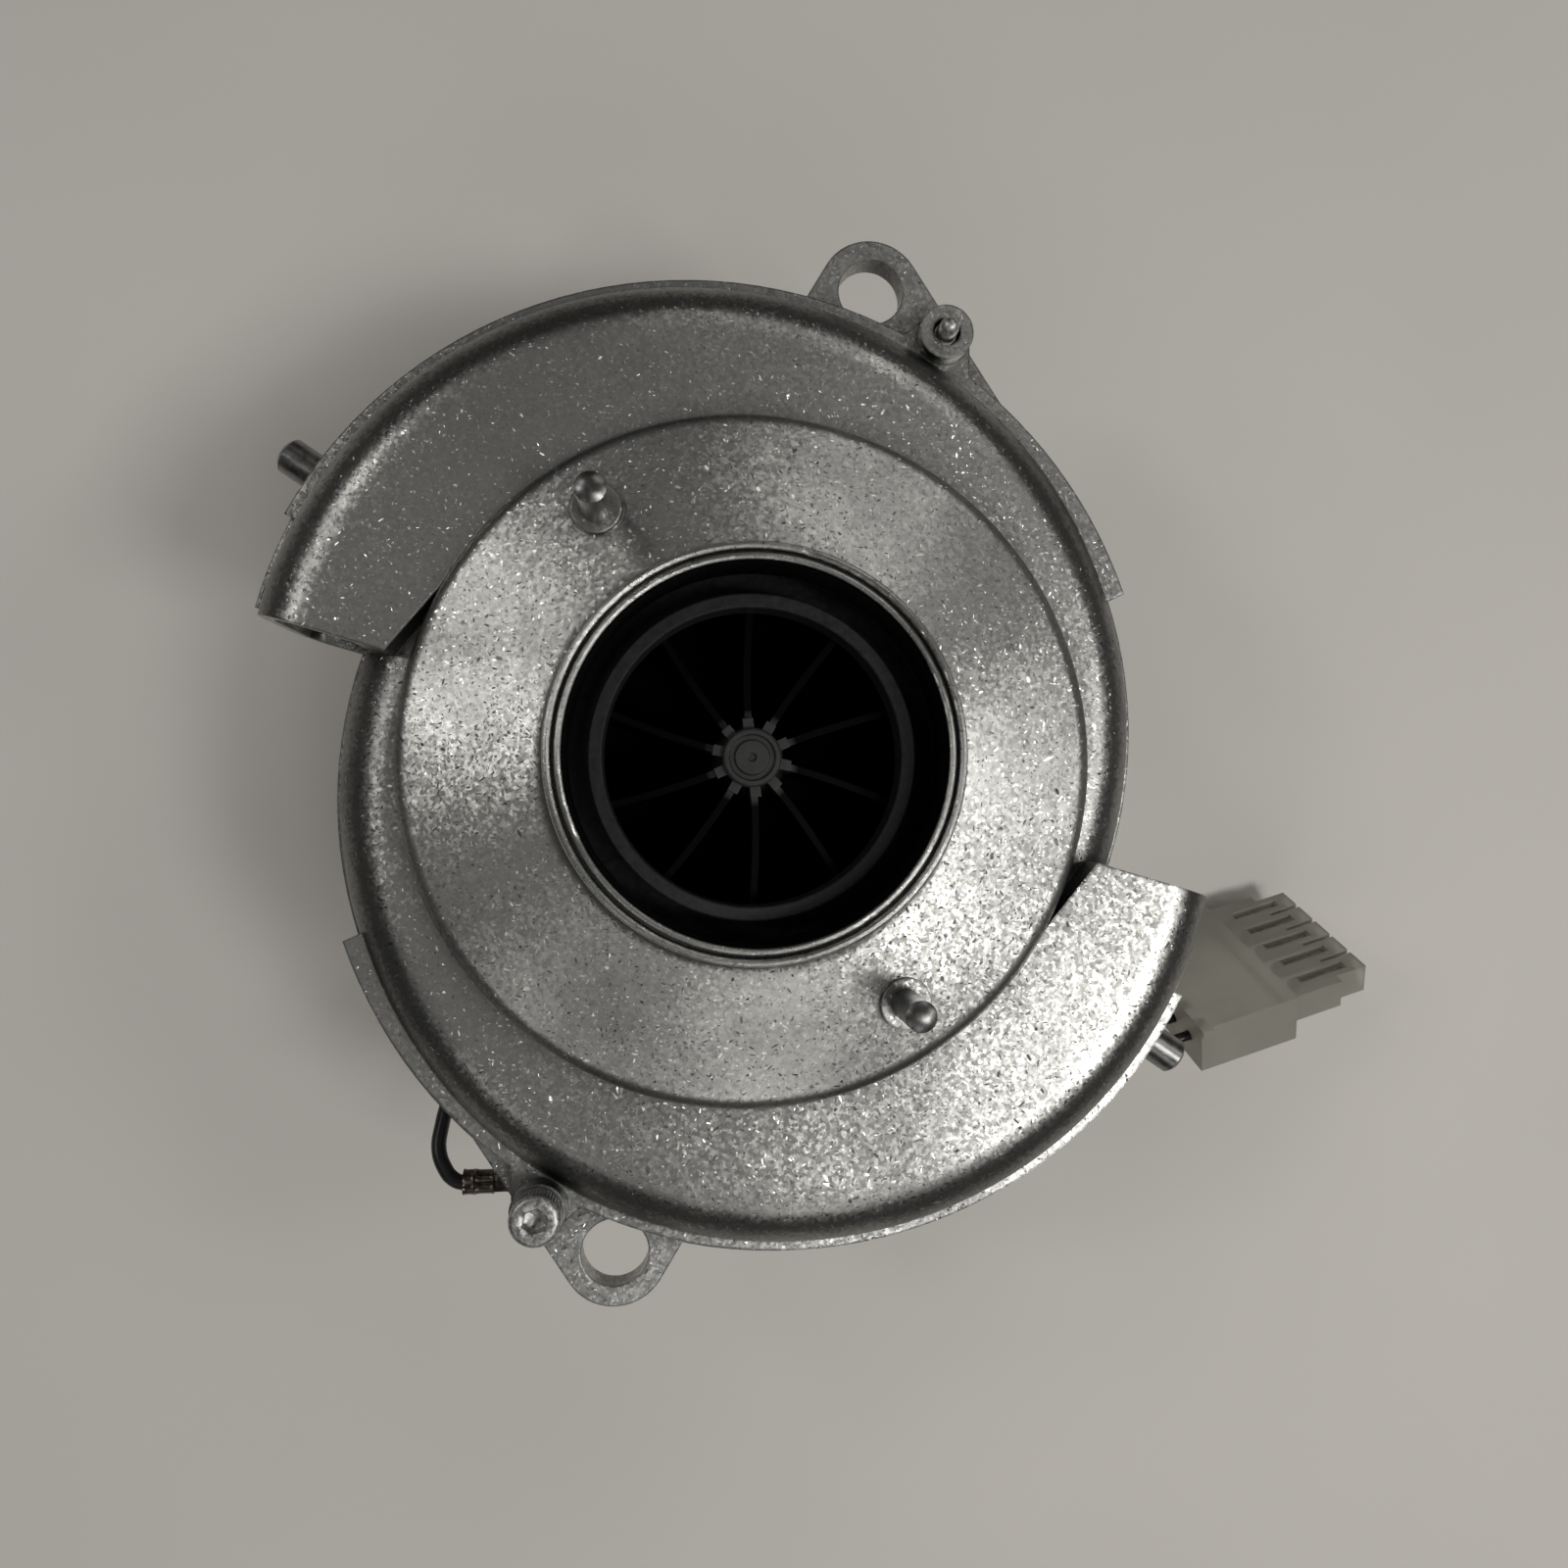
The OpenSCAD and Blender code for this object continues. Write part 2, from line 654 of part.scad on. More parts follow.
module shaft() color("lightsteelblue") {
  rear = rear_bearing_z - over;
  tip = parting_z + hub_top_h - hub_roof - 0.3;
  difference() {
    union() {
      translate([0, 0, rear]) cylinder(r = shaft_r - fit, h = hub_z - rear);
      translate([0, 0, rear]) cylinder(r = tip_r - fit, h = tip - rear);
    }
    translate([0, 0, tip - 0.8]) cylinder(r1 = 0.05, r2 = 0.9, h = 0.85);
  }
}
module shaft_sleeves() color("silver") {
  core_z = rotor_mid_z - core_h / 2;
  rear_top = rear_bearing_z + bearing_w;
  front_top = front_bearing_z + bearing_w;
  translate([0, 0, rear_top]) ring(sleeve_r, shaft_r, core_z - rear_top);
  translate([0, 0, core_z + core_h]) ring(sleeve_r, shaft_r, front_bearing_z - core_z - core_h);
  translate([0, 0, front_top]) ring(sleeve_r, shaft_r, hub_z - front_top);
}
module race_profile(from, to) {
  difference() {
    translate([from, 0]) square([to - from, bearing_w]);
    translate([ball_pitch, bearing_w / 2]) circle(r = ball_r + run);
  }
}
module bearing_outer(z) { translate([0, 0, z]) rotate_extrude() race_profile(race_out, bearing_r - fit); }
module bearing_inner(z) { translate([0, 0, z]) rotate_extrude() race_profile(shaft_r, race_in); }
module bearing_balls(z) {
  translate([0, 0, z + bearing_w / 2]) {
    around(ball_count) translate([ball_pitch, 0, 0]) sphere(r = ball_r);
    translate([0, 0, -0.5]) ring(ball_pitch + 0.6, ball_pitch - 0.6, 1);
  }
}
module front_bearing_outer() color("lightgrey") bearing_outer(front_bearing_z);
module front_bearing_inner() color("lightgrey") bearing_inner(front_bearing_z);
module front_bearing_balls() color("gainsboro") bearing_balls(front_bearing_z);
module rear_bearing_outer() color("lightgrey") bearing_outer(rear_bearing_z);
module rear_bearing_inner() color("lightgrey") bearing_inner(rear_bearing_z);
module rear_bearing_balls() color("gainsboro") bearing_balls(rear_bearing_z);
module preload_spring() color("lightsteelblue") translate([0, 0, rear_bearing_z - spring_t])
  rotate_extrude() polygon([
    [bearing_r - 0.3, 0], [bearing_r - 0.3, spring_t / 2], [race_out, spring_t], [race_out, spring_t / 2]
  ]);

// Motor casing

module lead_window() {
  rotate([0, 0, lead_turn]) translate([can_in - over, -window_w / 2, lead_z - window_h / 2])
    cube([can_wall + 2 * over, window_w, window_h]);
}
module earth_hole(r) {
  rotate([0, 0, earth_turn]) translate([can_in - over, 0, earth_z]) rotate([0, 90, 0])
    cylinder(r = r, h = can_wall + 2 * over);
}
module cap_screw_holes(r) {
  around(3, 30) translate([can_in - cap_lip_h, 0, cap_screw_z]) rotate([0, 90, 0])
    cylinder(r = r, h = cap_lip_h + can_wall + over);
}
module motor_can() color("darkgray") difference() {
  translate([0, 0, cap_t]) rotate_extrude() {
    translate([can_in, 0]) square([can_wall, motor_h - cap_t - can_wall]);
    translate([bearing_boss_r + 0.3, motor_h - cap_t - can_wall])
      square([can_r - can_wall - bearing_boss_r - 0.3, can_wall]);
    intersection() {
      translate([can_in, motor_h - cap_t - can_wall]) circle(r = can_wall);
      translate([can_in, motor_h - cap_t - can_wall]) square(can_wall);
    }
  }
  around(4, casing_turn + 45) translate([can_screw_rho, 0, motor_h - can_wall - over])
    cylinder(r = can_screw_r, h = can_wall + 2 * over);
  lead_window();
  earth_hole(earth_bush_r);
  cap_screw_holes(small_screw_r + run);
}
module can_screws() color("lightgrey") around(4, casing_turn + 45) translate([can_screw_rho, 0, 0]) {
  translate([0, 0, floor_z - can_head_h])
    cylinder(r1 = can_screw_r - fit, r2 = can_head_r - fit, h = can_head_h);
  translate([0, 0, motor_h - can_wall - 2]) cylinder(r = can_screw_r - fit, h = floor_t + can_wall + over);
}
module end_cap() color("silver") difference() {
  union() {
    rotate_extrude() {
      square([can_r, cap_t - 1]);
      square([can_r - 1, cap_t]);
      translate([can_r - 1, cap_t - 1]) circle(r = 1);
    }
    ring(can_in - run, can_in - 3, cap_t + cap_lip_h);
    cylinder(r = bearing_boss_r, h = rear_bearing_z + bearing_w);
    around(3, 90) translate([post_rho, 0, 0]) cylinder(r = 2.6, h = board_z);
  }
  translate([0, 0, rear_bearing_z - spring_t]) cylinder(r = bearing_r, h = bearing_w + spring_t + over);
  translate([0, 0, rear_bearing_z - spring_t - 1.5]) cylinder(r = shaft_r + 1.5, h = 2);
  around(3, 90) translate([post_rho, 0, board_z - 5]) cylinder(r = small_screw_r, h = 6);
  cap_screw_holes(small_screw_r);
  translate([0, 0, -over]) ring(can_r - 6, can_r - 10, over + 0.8);
}
module end_cap_screws() color("lightgrey") around(3, 30) translate([0, 0, cap_screw_z]) rotate([0, 90, 0]) {
  translate([0, 0, can_in - 3]) cylinder(r = small_screw_r - fit, h = 3 + can_wall + 0.4);
  translate([0, 0, can_r + run]) difference() {
    cylinder(r = small_head_r, h = small_head_h);
    translate([-0.35, -reach, small_head_h / 2]) cube([0.7, 2 * reach, over]);
  }
}

// Stator and rotor

module tooth_plan(w) { translate([bore_r + shoe_t / 2, -w / 2]) square([can_in - bore_r - shoe_t, w]); }
module stator_core() color("slategray") translate([0, 0, stack_z]) linear_extrude(stack_h) {
  difference() {
    circle(r = can_in - run);
    circle(r = can_in - yoke_t);
  }
  intersection() {
    circle(r = can_in - yoke_t / 2);
    around(tooth_count) tooth_plan(tooth_w);
  }
  difference() {
    circle(r = bore_r + shoe_t);
    circle(r = bore_r);
    around(tooth_count, 180 / tooth_count) translate([0, -1.2]) square([can_r, 2.4]);
  }
}
// Winding section round one tooth, looking along the tooth
module coil_section(grow, r) {
  w = tooth_w + 2 * grow;
  h = stack_h + 2 * grow;
  translate([-h / 2 + r, -w / 2]) square([h - 2 * r, w]);
  translate([-h / 2, -w / 2 + r]) square([h, w - 2 * r]);
  for (x = [-1, 1], y = [-1, 1]) translate([x * (h / 2 - r), y * (w / 2 - r)]) circle(r = r);
}
module tooth_sleeve(from, to, inner, outer, r) {
  translate([from, 0, rotor_mid_z]) rotate([0, 90, 0]) linear_extrude(to - from) difference() {
    coil_section(outer, r);
    square([stack_h + 2 * inner, tooth_w + 2 * inner], center = true);
  }
}
module slot_insulators() color("ivory") around(tooth_count) {
  tooth_sleeve(coil_in - 0.4, coil_out + 0.4, run, liner, 0.5);
  tooth_sleeve(coil_in - 0.4, coil_in, run, liner + 1.2, 1);
}
module stator_coils() color("peru") around(tooth_count)
  tooth_sleeve(coil_in + run, coil_out, liner + run, coil_end / 2, 1.5);
module rotor_core() color("slategray") translate([0, 0, rotor_mid_z - core_h / 2]) linear_extrude(core_h)
  difference() {
    circle(r = core_r);
    circle(r = shaft_r);
    around(6) translate([(core_r + shaft_r) / 2 + 0.5, 0]) circle(r = 1.4);
  }
module magnet_ring() color("dimgray") translate([0, 0, rotor_mid_z - magnet_h / 2])
  ring(magnet_r, magnet_r - magnet_t, magnet_h);

// Circuit board

module circuit_board() color("darkgreen") translate([0, 0, board_z]) linear_extrude(board_t) difference() {
  circle(r = board_r);
  circle(r = bearing_boss_r + 0.5);
  around(3, 90) translate([post_rho, 0]) circle(r = small_screw_r + run);
}
module board_components() color("black") translate([0, 0, board_z + board_t]) {
  for (a = [0, 40, 80]) rotate([0, 0, a - 130]) translate([bearing_boss_r + 2, -1.5, 0]) cube([1.6, 3, 3]);
  rotate([0, 0, 150]) translate([15, -3.5, 0]) cube([7, 7, 1.4]);
  for (a = [175, 195]) rotate([0, 0, a]) translate([20.5, 0, 0]) cylinder(r = 2.4, h = 3.6);
  for (a = [0, 16, 32]) rotate([0, 0, a]) translate([18, -1.6, 0]) cube([5, 3.2, 1.6]);
}
module board_screws() color("lightgrey") around(3, 90) translate([post_rho, 0, board_z]) {
  translate([0, 0, -4]) cylinder(r = small_screw_r - fit, h = 5 + board_t);
  translate([0, 0, board_t]) cylinder(r = small_head_r, h = small_head_h);
}

// Leads and plug

function unit(v) = v / norm(v);
function turn_x(p, a) = [p[0], p[1] * cos(a) - p[2] * sin(a), p[1] * sin(a) + p[2] * cos(a)];
function turn_y(p, a) = [p[0] * cos(a) + p[2] * sin(a), p[1], p[2] * cos(a) - p[0] * sin(a)];
function turn_z(p, a) = [p[0] * cos(a) - p[1] * sin(a), p[0] * sin(a) + p[1] * cos(a), p[2]];
function plug_dir(p) = turn_z(turn_y(turn_x(p, plug_turn[0]), plug_turn[1]), plug_turn[2]);
function plug_point(p) = plug_at + plug_dir(p);
function smooth(t) = t * t * (3 - 2 * t);
plug_row = plug_pitch * plug_dir([0, 1, 0]);

// Middle line of the flat wire group, from the can to the plug
lead_route = [
  [20, -28.6, 16], [22, -31.4, 16], [25, -35.4, 16], [29, -39.6, 15.8], [34, -43.6, 15.5],
  [40, -46.8, 15.2], [46, -48.6, 15], [52, -49.2, 14.8], [58, -48.8, 14.8], [64, -47.6, 14.8],
  [70, -45.9, 14.9]
];
// Earth lead, from the terminal's barrel to its bush in the can
earth_at = polar(boss_rho, boss_at + 180 + casing_turn);
function earth_start(x) = [earth_at[0] - x, earth_at[1], parting_z - boss_down - terminal_t];
function earth_end(r) = concat(polar(r, earth_turn), earth_z);
earth_route = concat(
  [earth_start(barrel_x + over), earth_start(barrel_x + barrel_l + 0.5)],
  [
    [-43.8, -60, 51.8], [-45, -57.2, 51], [-44.8, -53.6, 49.6], [-44, -49.6, 47.4], [-43, -45.4, 44.8],
    [-41.4, -41, 42.4], [-39.2, -36.2, 40.2], [-36.6, -31, 38.2], [-34, -26, 36.8]
  ],
  [earth_end(can_r + 7), earth_end(can_r + 2.4), earth_end(can_in + 1.7)]
);
function wire_spread(i) = i - (wire_count - 1) / 2;
function wire_end(i, depth) = plug_point([depth, plug_w / 2 + wire_spread(i) * plug_pitch, plug_axis_h]);
function wire_start(i, r) = concat(polar(r, lead_turn), lead_z - wire_spread(i) * wire_pitch);
function wire_path(i) = concat(
  [wire_start(i, can_in + 0.6), wire_start(i, can_r + 1.4)],
  [for (k = [0:len(lead_route) - 1])
    let (t = smooth(k / (len(lead_route) - 1)), fan = (1 - t) * [0, 0, -wire_pitch] + t * plug_row)
      lead_route[k] + wire_spread(i) * fan],
  [wire_end(i, -6), wire_end(i, -2.5), wire_end(i, wire_in_plug)]
);
function path_dir(p, i) = unit(p[min(i + 1, len(p) - 1)] - p[max(i - 1, 0)]);
function side_of(d) = unit(cross(abs(d[2]) < 0.9 ? [0, 0, 1] : [1, 0, 0], d));

// Round tube along a path, with flat ends
module tube(path, d, sides = 8) {
  n = len(path);
  points = [for (i = [0:n - 1]) let (t = path_dir(path, i), u = side_of(t), v = cross(t, u))
    for (k = [0:sides - 1]) path[i] + d / 2 * (cos(k * 360 / sides) * u + sin(k * 360 / sides) * v)];
  walls = [for (i = [0:n - 2], k = [0:sides - 1])
    [i * sides + k, (i + 1) * sides + k, (i + 1) * sides + (k + 1) % sides, i * sides + (k + 1) % sides]];
  first = [for (k = [0:sides - 1]) k];
  last = [for (k = [sides - 1:-1:0]) (n - 1) * sides + k];
  polyhedron(points = points, faces = concat(walls, [first], [last]));
}
module motor_wire(i) { color("black") tube(wire_path(i), wire_d); }
module earth_lead() color("black") tube(earth_route, earth_d);

module slot_body(w, h, l) {
  rotate([0, 90, 0]) linear_extrude(l) {
    square([h - w, w], center = true);
    for (k = [-1, 1]) translate([k * (h - w) / 2, 0]) circle(r = w / 2);
  }
}
module lead_grommet() color("black") rotate([0, 0, lead_turn]) translate([0, 0, lead_z]) difference() {
  union() {
    translate([can_in + run, run - window_w / 2, run - window_h / 2])
      cube([can_wall + over, window_w - 2 * run, window_h - 2 * run]);
    translate([can_r + run, 0, 0]) slot_body(window_w + 2.4, window_h + 3, 2.6);
  }
  for (i = [0:wire_count - 1]) translate([can_in + 0.6, 0, -wire_spread(i) * wire_pitch]) rotate([0, 90, 0])
    cylinder(r = wire_d / 2 + run, h = can_r);
}
module earth_bush() color("black")
  rotate([0, 0, earth_turn]) translate([can_in, 0, earth_z]) rotate([0, 90, 0]) difference() {
    union() {
      cylinder(r = earth_bush_r - run, h = can_wall + over);
      translate([0, 0, can_wall + 0.4]) cylinder(r = earth_bush_r + 1.1, h = 1.8);
    }
    translate([0, 0, can_wall]) cylinder(r = earth_d / 2 + run, h = can_r);
  }

module in_plug() { translate(plug_at) rotate(plug_turn) children(); }
module plug_columns() {
  for (i = [0:wire_count - 1]) translate([0, plug_w / 2 + wire_spread(i) * plug_pitch, 0]) children();
}
module plug_housing() color("whitesmoke") in_plug() difference() {
  union() {
    cube([plug_body_l, plug_w, plug_t]);
    translate([0, -plug_lip, plug_t - lip_h]) cube([2, plug_w + 2 * plug_lip, lip_h]);
    translate([plug_body_l, plug_lip, silo_z]) cube([nose_l - 6, plug_w - 2 * plug_lip, silo_h]);
    translate([plug_body_l, 0, silo_z]) plug_columns() translate([0, -silo_w / 2, 0])
      cube([nose_l, silo_w, silo_h]);
  }
  plug_columns() {
    translate([-over, 0, plug_axis_h]) rotate([0, 90, 0])
      cylinder(r = wire_d / 2 + 0.2, h = over + wire_in_plug);
    translate([contact_x, -contact_w / 2, contact_z]) cube([plug_l, contact_w, contact_h]);
    translate([contact_x + over, -0.9, contact_z + contact_h / 2]) cube([nose_l - 6, 1.8, plug_t]);
  }
}
module plug_contacts() color("gold") in_plug() plug_columns()
  translate([contact_x, run - contact_w / 2, contact_z + run]) difference() {
    cube([nose_l - 3.4, contact_w - 2 * run, contact_h - 2 * run]);
    translate([over, contact_t, contact_t])
      cube([nose_l, contact_w - 2 * run - 2 * contact_t, contact_h - 2 * run - 2 * contact_t]);
  }

scroll_cover();
scroll_housing();
locating_dowels();
side_pins();
front_casing_screw();
rear_casing_screw();
earth_terminal();
earth_washer();
earth_nut();
impeller_disc();
impeller_shroud();
shaft();
shaft_sleeves();
front_bearing_outer();
front_bearing_inner();
front_bearing_balls();
rear_bearing_outer();
rear_bearing_inner();
rear_bearing_balls();
preload_spring();
motor_can();
can_screws();
end_cap();
end_cap_screws();
stator_core();
slot_insulators();
stator_coils();
rotor_core();
magnet_ring();
circuit_board();
board_components();
board_screws();
lead_grommet();
earth_bush();
plug_housing();
plug_contacts();
motor_wire(0);  // motor_wire_1
motor_wire(1);  // motor_wire_2
motor_wire(2);  // motor_wire_3
motor_wire(3);  // motor_wire_4
motor_wire(4);  // motor_wire_5
earth_lead();
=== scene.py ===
import bpy
import bmesh
import math
from mathutils import Euler, Matrix, Vector


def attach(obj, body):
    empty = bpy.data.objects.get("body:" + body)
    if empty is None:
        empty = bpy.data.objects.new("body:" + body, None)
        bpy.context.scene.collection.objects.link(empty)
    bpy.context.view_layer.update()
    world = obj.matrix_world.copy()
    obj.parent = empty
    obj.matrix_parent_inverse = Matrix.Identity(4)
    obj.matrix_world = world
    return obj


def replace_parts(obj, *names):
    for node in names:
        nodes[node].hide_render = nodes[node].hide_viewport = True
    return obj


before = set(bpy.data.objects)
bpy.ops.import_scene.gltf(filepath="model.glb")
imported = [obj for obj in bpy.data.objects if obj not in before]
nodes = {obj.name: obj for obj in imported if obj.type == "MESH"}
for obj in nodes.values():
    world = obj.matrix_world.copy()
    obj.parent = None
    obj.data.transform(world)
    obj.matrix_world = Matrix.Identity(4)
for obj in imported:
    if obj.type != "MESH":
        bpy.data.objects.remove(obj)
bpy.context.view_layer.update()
print("blower frame loaded")


def inRadians(turn):
    return [math.radians(angle) for angle in turn]


def ease(t):
    return t * t * (3 - 2 * t)


# camera: a phone held over the inlet
phoneCamera = {
    "place": (-0.0098, -0.0073, 0.2309), "turn": (1.44, -5.2, -0.15),
    "lens": 27.0, "sensor": 36.0, "near": 0.005,
}
cameraData = bpy.data.cameras.new("phoneCamera")
cameraData.lens = phoneCamera["lens"]
cameraData.sensor_fit = "HORIZONTAL"
cameraData.sensor_width = phoneCamera["sensor"]
cameraData.clip_start = phoneCamera["near"]
camera = bpy.data.objects.new("phoneCamera", cameraData)
camera.location = phoneCamera["place"]
camera.rotation_euler = inRadians(phoneCamera["turn"])
bpy.context.collection.objects.link(camera)
bpy.context.scene.camera = camera
print("camera set")


# small helpers for shader trees
def startMaterial(name):
    material = bpy.data.materials.new(name)
    material.use_nodes = True
    tree = material.node_tree
    return material, tree, tree.nodes["Principled BSDF"]


def addNode(tree, kind, **settings):
    node = tree.nodes.new(kind)
    for key, value in settings.items():
        setattr(node, key, value)
    return node


def feed(tree, socket, value):
    if hasattr(value, "is_output"):
        tree.links.new(value, socket)
    else:
        socket.default_value = value


def partCoords(tree):
    return addNode(tree, "ShaderNodeTexCoord").outputs["Object"]


def noise(tree, vector, scale, detail=3.0, rough=0.55):
    node = addNode(tree, "ShaderNodeTexNoise")
    node.inputs["Scale"].default_value = scale
    node.inputs["Detail"].default_value = detail
    node.inputs["Roughness"].default_value = rough
    tree.links.new(vector, node.inputs["Vector"])
    return node.outputs["Fac"]


def remap(tree, value, low, high, outLow=0.0, outHigh=1.0):
    node = addNode(tree, "ShaderNodeMapRange")
    node.inputs["From Min"].default_value = low
    node.inputs["From Max"].default_value = high
    node.inputs["To Min"].default_value = outLow
    node.inputs["To Max"].default_value = outHigh
    tree.links.new(value, node.inputs["Value"])
    return node.outputs["Result"]


def combine(tree, operation, a, b):
    node = addNode(tree, "ShaderNodeMath", operation=operation)
    feed(tree, node.inputs[0], a)
    feed(tree, node.inputs[1], b)
    return node.outputs["Value"]


def vectors(tree, operation, a, b=(0, 0, 0), answer="Vector"):
    node = addNode(tree, "ShaderNodeVectorMath", operation=operation)
    feed(tree, node.inputs[0], a)
    feed(tree, node.inputs[1], b)
    return node.outputs[answer]


def stretched(tree, vector, amount):
    node = addNode(tree, "ShaderNodeVectorMath", operation="SCALE")
    tree.links.new(vector, node.inputs[0])
    feed(tree, node.inputs["Scale"], amount)
    return node.outputs["Vector"]


def colourRamp(tree, value, stops):
    node = addNode(tree, "ShaderNodeValToRGB")
    ramp = node.color_ramp
    while len(ramp.elements) < len(stops):
        ramp.elements.new(0.5)
    for element, (place, colour) in zip(ramp.elements, stops):
        element.position = place
        element.color = (*colour, 1.0)
    tree.links.new(value, node.inputs["Fac"])
    return node.outputs["Color"]


# noise mostly lies between these two values
noiseSpan = (0.3, 0.7)


def mottled(tree, value, low, high):
    return colourRamp(tree, value, tuple(zip(noiseSpan, (low, high))))


def shaded(tree, colour, amount):
    node = addNode(tree, "ShaderNodeMix", data_type="RGBA", blend_type="MULTIPLY")
    node.inputs["Factor"].default_value = 1.0
    tree.links.new(colour, node.inputs["A"])
    tree.links.new(amount, node.inputs["B"])
    return node.outputs["Result"]


def bumpFrom(tree, shader, height, strength, depth, normal):
    node = addNode(tree, "ShaderNodeBump")
    node.inputs["Strength"].default_value = strength
    node.inputs["Distance"].default_value = depth
    tree.links.new(height, node.inputs["Height"])
    tree.links.new(normal, node.inputs["Normal"])
    tree.links.new(node.outputs["Normal"], shader.inputs["Normal"])


def roundedEdges(tree, radius):
    node = addNode(tree, "ShaderNodeBevel", samples=4)
    node.inputs["Radius"].default_value = radius
    return node.outputs["Normal"]


# ambient occlusion darkens the colour in creases and hollows: painted crease shade, partly dirt
def creaseDirtAndShade(tree, distance, span, darkest):
    node = addNode(tree, "ShaderNodeAmbientOcclusion", samples=4)
    node.inputs["Distance"].default_value = distance
    return remap(tree, node.outputs["AO"], *span, darkest, 1.0)


# distance from the fan axis
def axisReach(tree, vector):
    return vectors(tree, "LENGTH", vectors(tree, "MULTIPLY", vector, (1, 1, 0)), answer="Value")


def heightOf(tree, vector):
    return vectors(tree, "DOT_PRODUCT", vector, (0, 0, 1), answer="Value")


# tumbled die-cast aluminium: dull grey with small nicks that lie every way and glint or go dark
castLook = {
    "dark": 0.27, "mid": 0.55, "light": 0.88, "toneStops": (0.28, 0.50, 0.74), "warmth": (0.98, 0.97, 0.95),
    "patch": 45.0, "patchShare": 0.6, "grain": 1300.0, "grainShare": 0.4, "edge": 0.0005,
    "rough": 0.37, "roughSpan": (0.3, 0.75), "roughSpread": (1.2, 0.75),
    # on the next line, the ambient occlusion entries set the painted crease shade, partly dirt
    "relief": 0.25, "reliefDepth": 0.00008, "creaseShadeReach": 0.004, "creaseShadeSpan": (0.35, 0.95), "creaseShadeDarkest": 0.35,
    "facets": 2100.0, "facetTilt": 0.12, "nickTone": 0.8, "nickMiddle": 0.45,
    "nicks": (
        {"perMetre": 1050.0, "long": 0.00070, "wide": 0.00013, "share": 0.50, "tilt": 0.44},
        {"perMetre": 1800.0, "long": 0.00040, "wide": 0.00009, "share": 0.60, "tilt": 0.48},
        {"perMetre": 500.0, "long": 0.0013, "wide": 0.00015, "share": 0.35, "tilt": 0.36}),
    # painted slope shade of shoulders and steps, with its lip exemption
    "steep": 0.34, "stepLift": (0.72, 0.955), "shoulderLift": (0.945, 0.998),
    "uprightLift": (0.55, 0.2), "uprightTone": 0.85, "coneR": 0.047, "coneBlend": 0.0005,
    "lipZ": 0.0866, "lipBlend": 0.0002, "lipTilt": 0.25, "lipRough": 0.8,
    # painted shade inside the inlet bore
    "boreR": 0.0242, "boreBlend": (0.0006, 0.0003), "boreDark": 0.06,
}
capLook = {**castLook, "patch": 90.0, "mid": 0.62}
nickShape = {"deep": 2.5, "soft": 0.6}


def cellPattern(tree, vector, scale):
    node = addNode(tree, "ShaderNodeTexVoronoi")
    node.inputs["Scale"].default_value = scale
    tree.links.new(vector, node.inputs["Vector"])
    lean = vectors(tree, "SUBTRACT", node.outputs["Color"], (0.5, 0.5, 0.5))
    return node, lean


def nickLayer(tree, vector, nick):
    cell, lean = cellPattern(tree, vector, nick["perMetre"])
    away = vectors(tree, "SUBTRACT", vector, cell.outputs["Position"])
    turned = addNode(tree, "ShaderNodeVectorRotate", rotation_type="EULER_XYZ")
    tree.links.new(away, turned.inputs["Vector"])
    tree.links.new(stretched(tree, lean, 2 * math.pi), turned.inputs["Rotation"])
    size = (1 / nick["long"], 1 / nick["wide"], 1 / (nickShape["deep"] * nick["wide"]))
    reach = vectors(tree, "LENGTH", vectors(tree, "MULTIPLY", turned.outputs["Vector"], size), answer="Value")
    parts = addNode(tree, "ShaderNodeSeparateColor")
    tree.links.new(cell.outputs["Color"], parts.inputs["Color"])
    there = combine(tree, "LESS_THAN", parts.outputs["Green"], nick["share"])
    mask = combine(tree, "MULTIPLY", remap(tree, reach, 1.0, nickShape["soft"]), there)
    return mask, stretched(tree, stretched(tree, lean, mask), nick["tilt"]), parts.outputs["Blue"]


# rounded shoulders and steps are darkened by how steep they are: painted shade for the dark reflection of low
# surroundings, with upright walls and the inlet lip left paler
def slopePaintedShade(tree, normal, reach, lip, look):
    lift = heightOf(tree, normal)
    step = remap(tree, lift, *look["stepLift"], look["steep"], 1.0)
    shoulder = remap(tree, lift, *look["shoulderLift"], look["steep"], 1.0)
    cone = remap(tree, reach, look["coneR"] + look["coneBlend"], look["coneR"] - look["coneBlend"])
    wall = combine(tree, "MINIMUM", step, combine(tree, "MAXIMUM", shoulder, cone))
    upright = remap(tree, lift, *look["uprightLift"], 0.0, look["uprightTone"])
    return combine(tree, "MAXIMUM", combine(tree, "MAXIMUM", wall, upright), lip)


# painted shade in the inlet bore: the colour goes dark inside the bore's radius, standing for the dark
# reflection there
def borePaintedShade(tree, reach, look):
    low, high = (look["boreR"] - inward for inward in look["boreBlend"])
    return remap(tree, reach, low, high, look["boreDark"], 1.0)


def castTones(look):
    greys = (look["dark"], look["mid"], look["light"])
    rows = zip(look["toneStops"], greys, look["warmth"])
    return [(stop, (grey, grey, grey * warm)) for stop, grey, warm in rows]


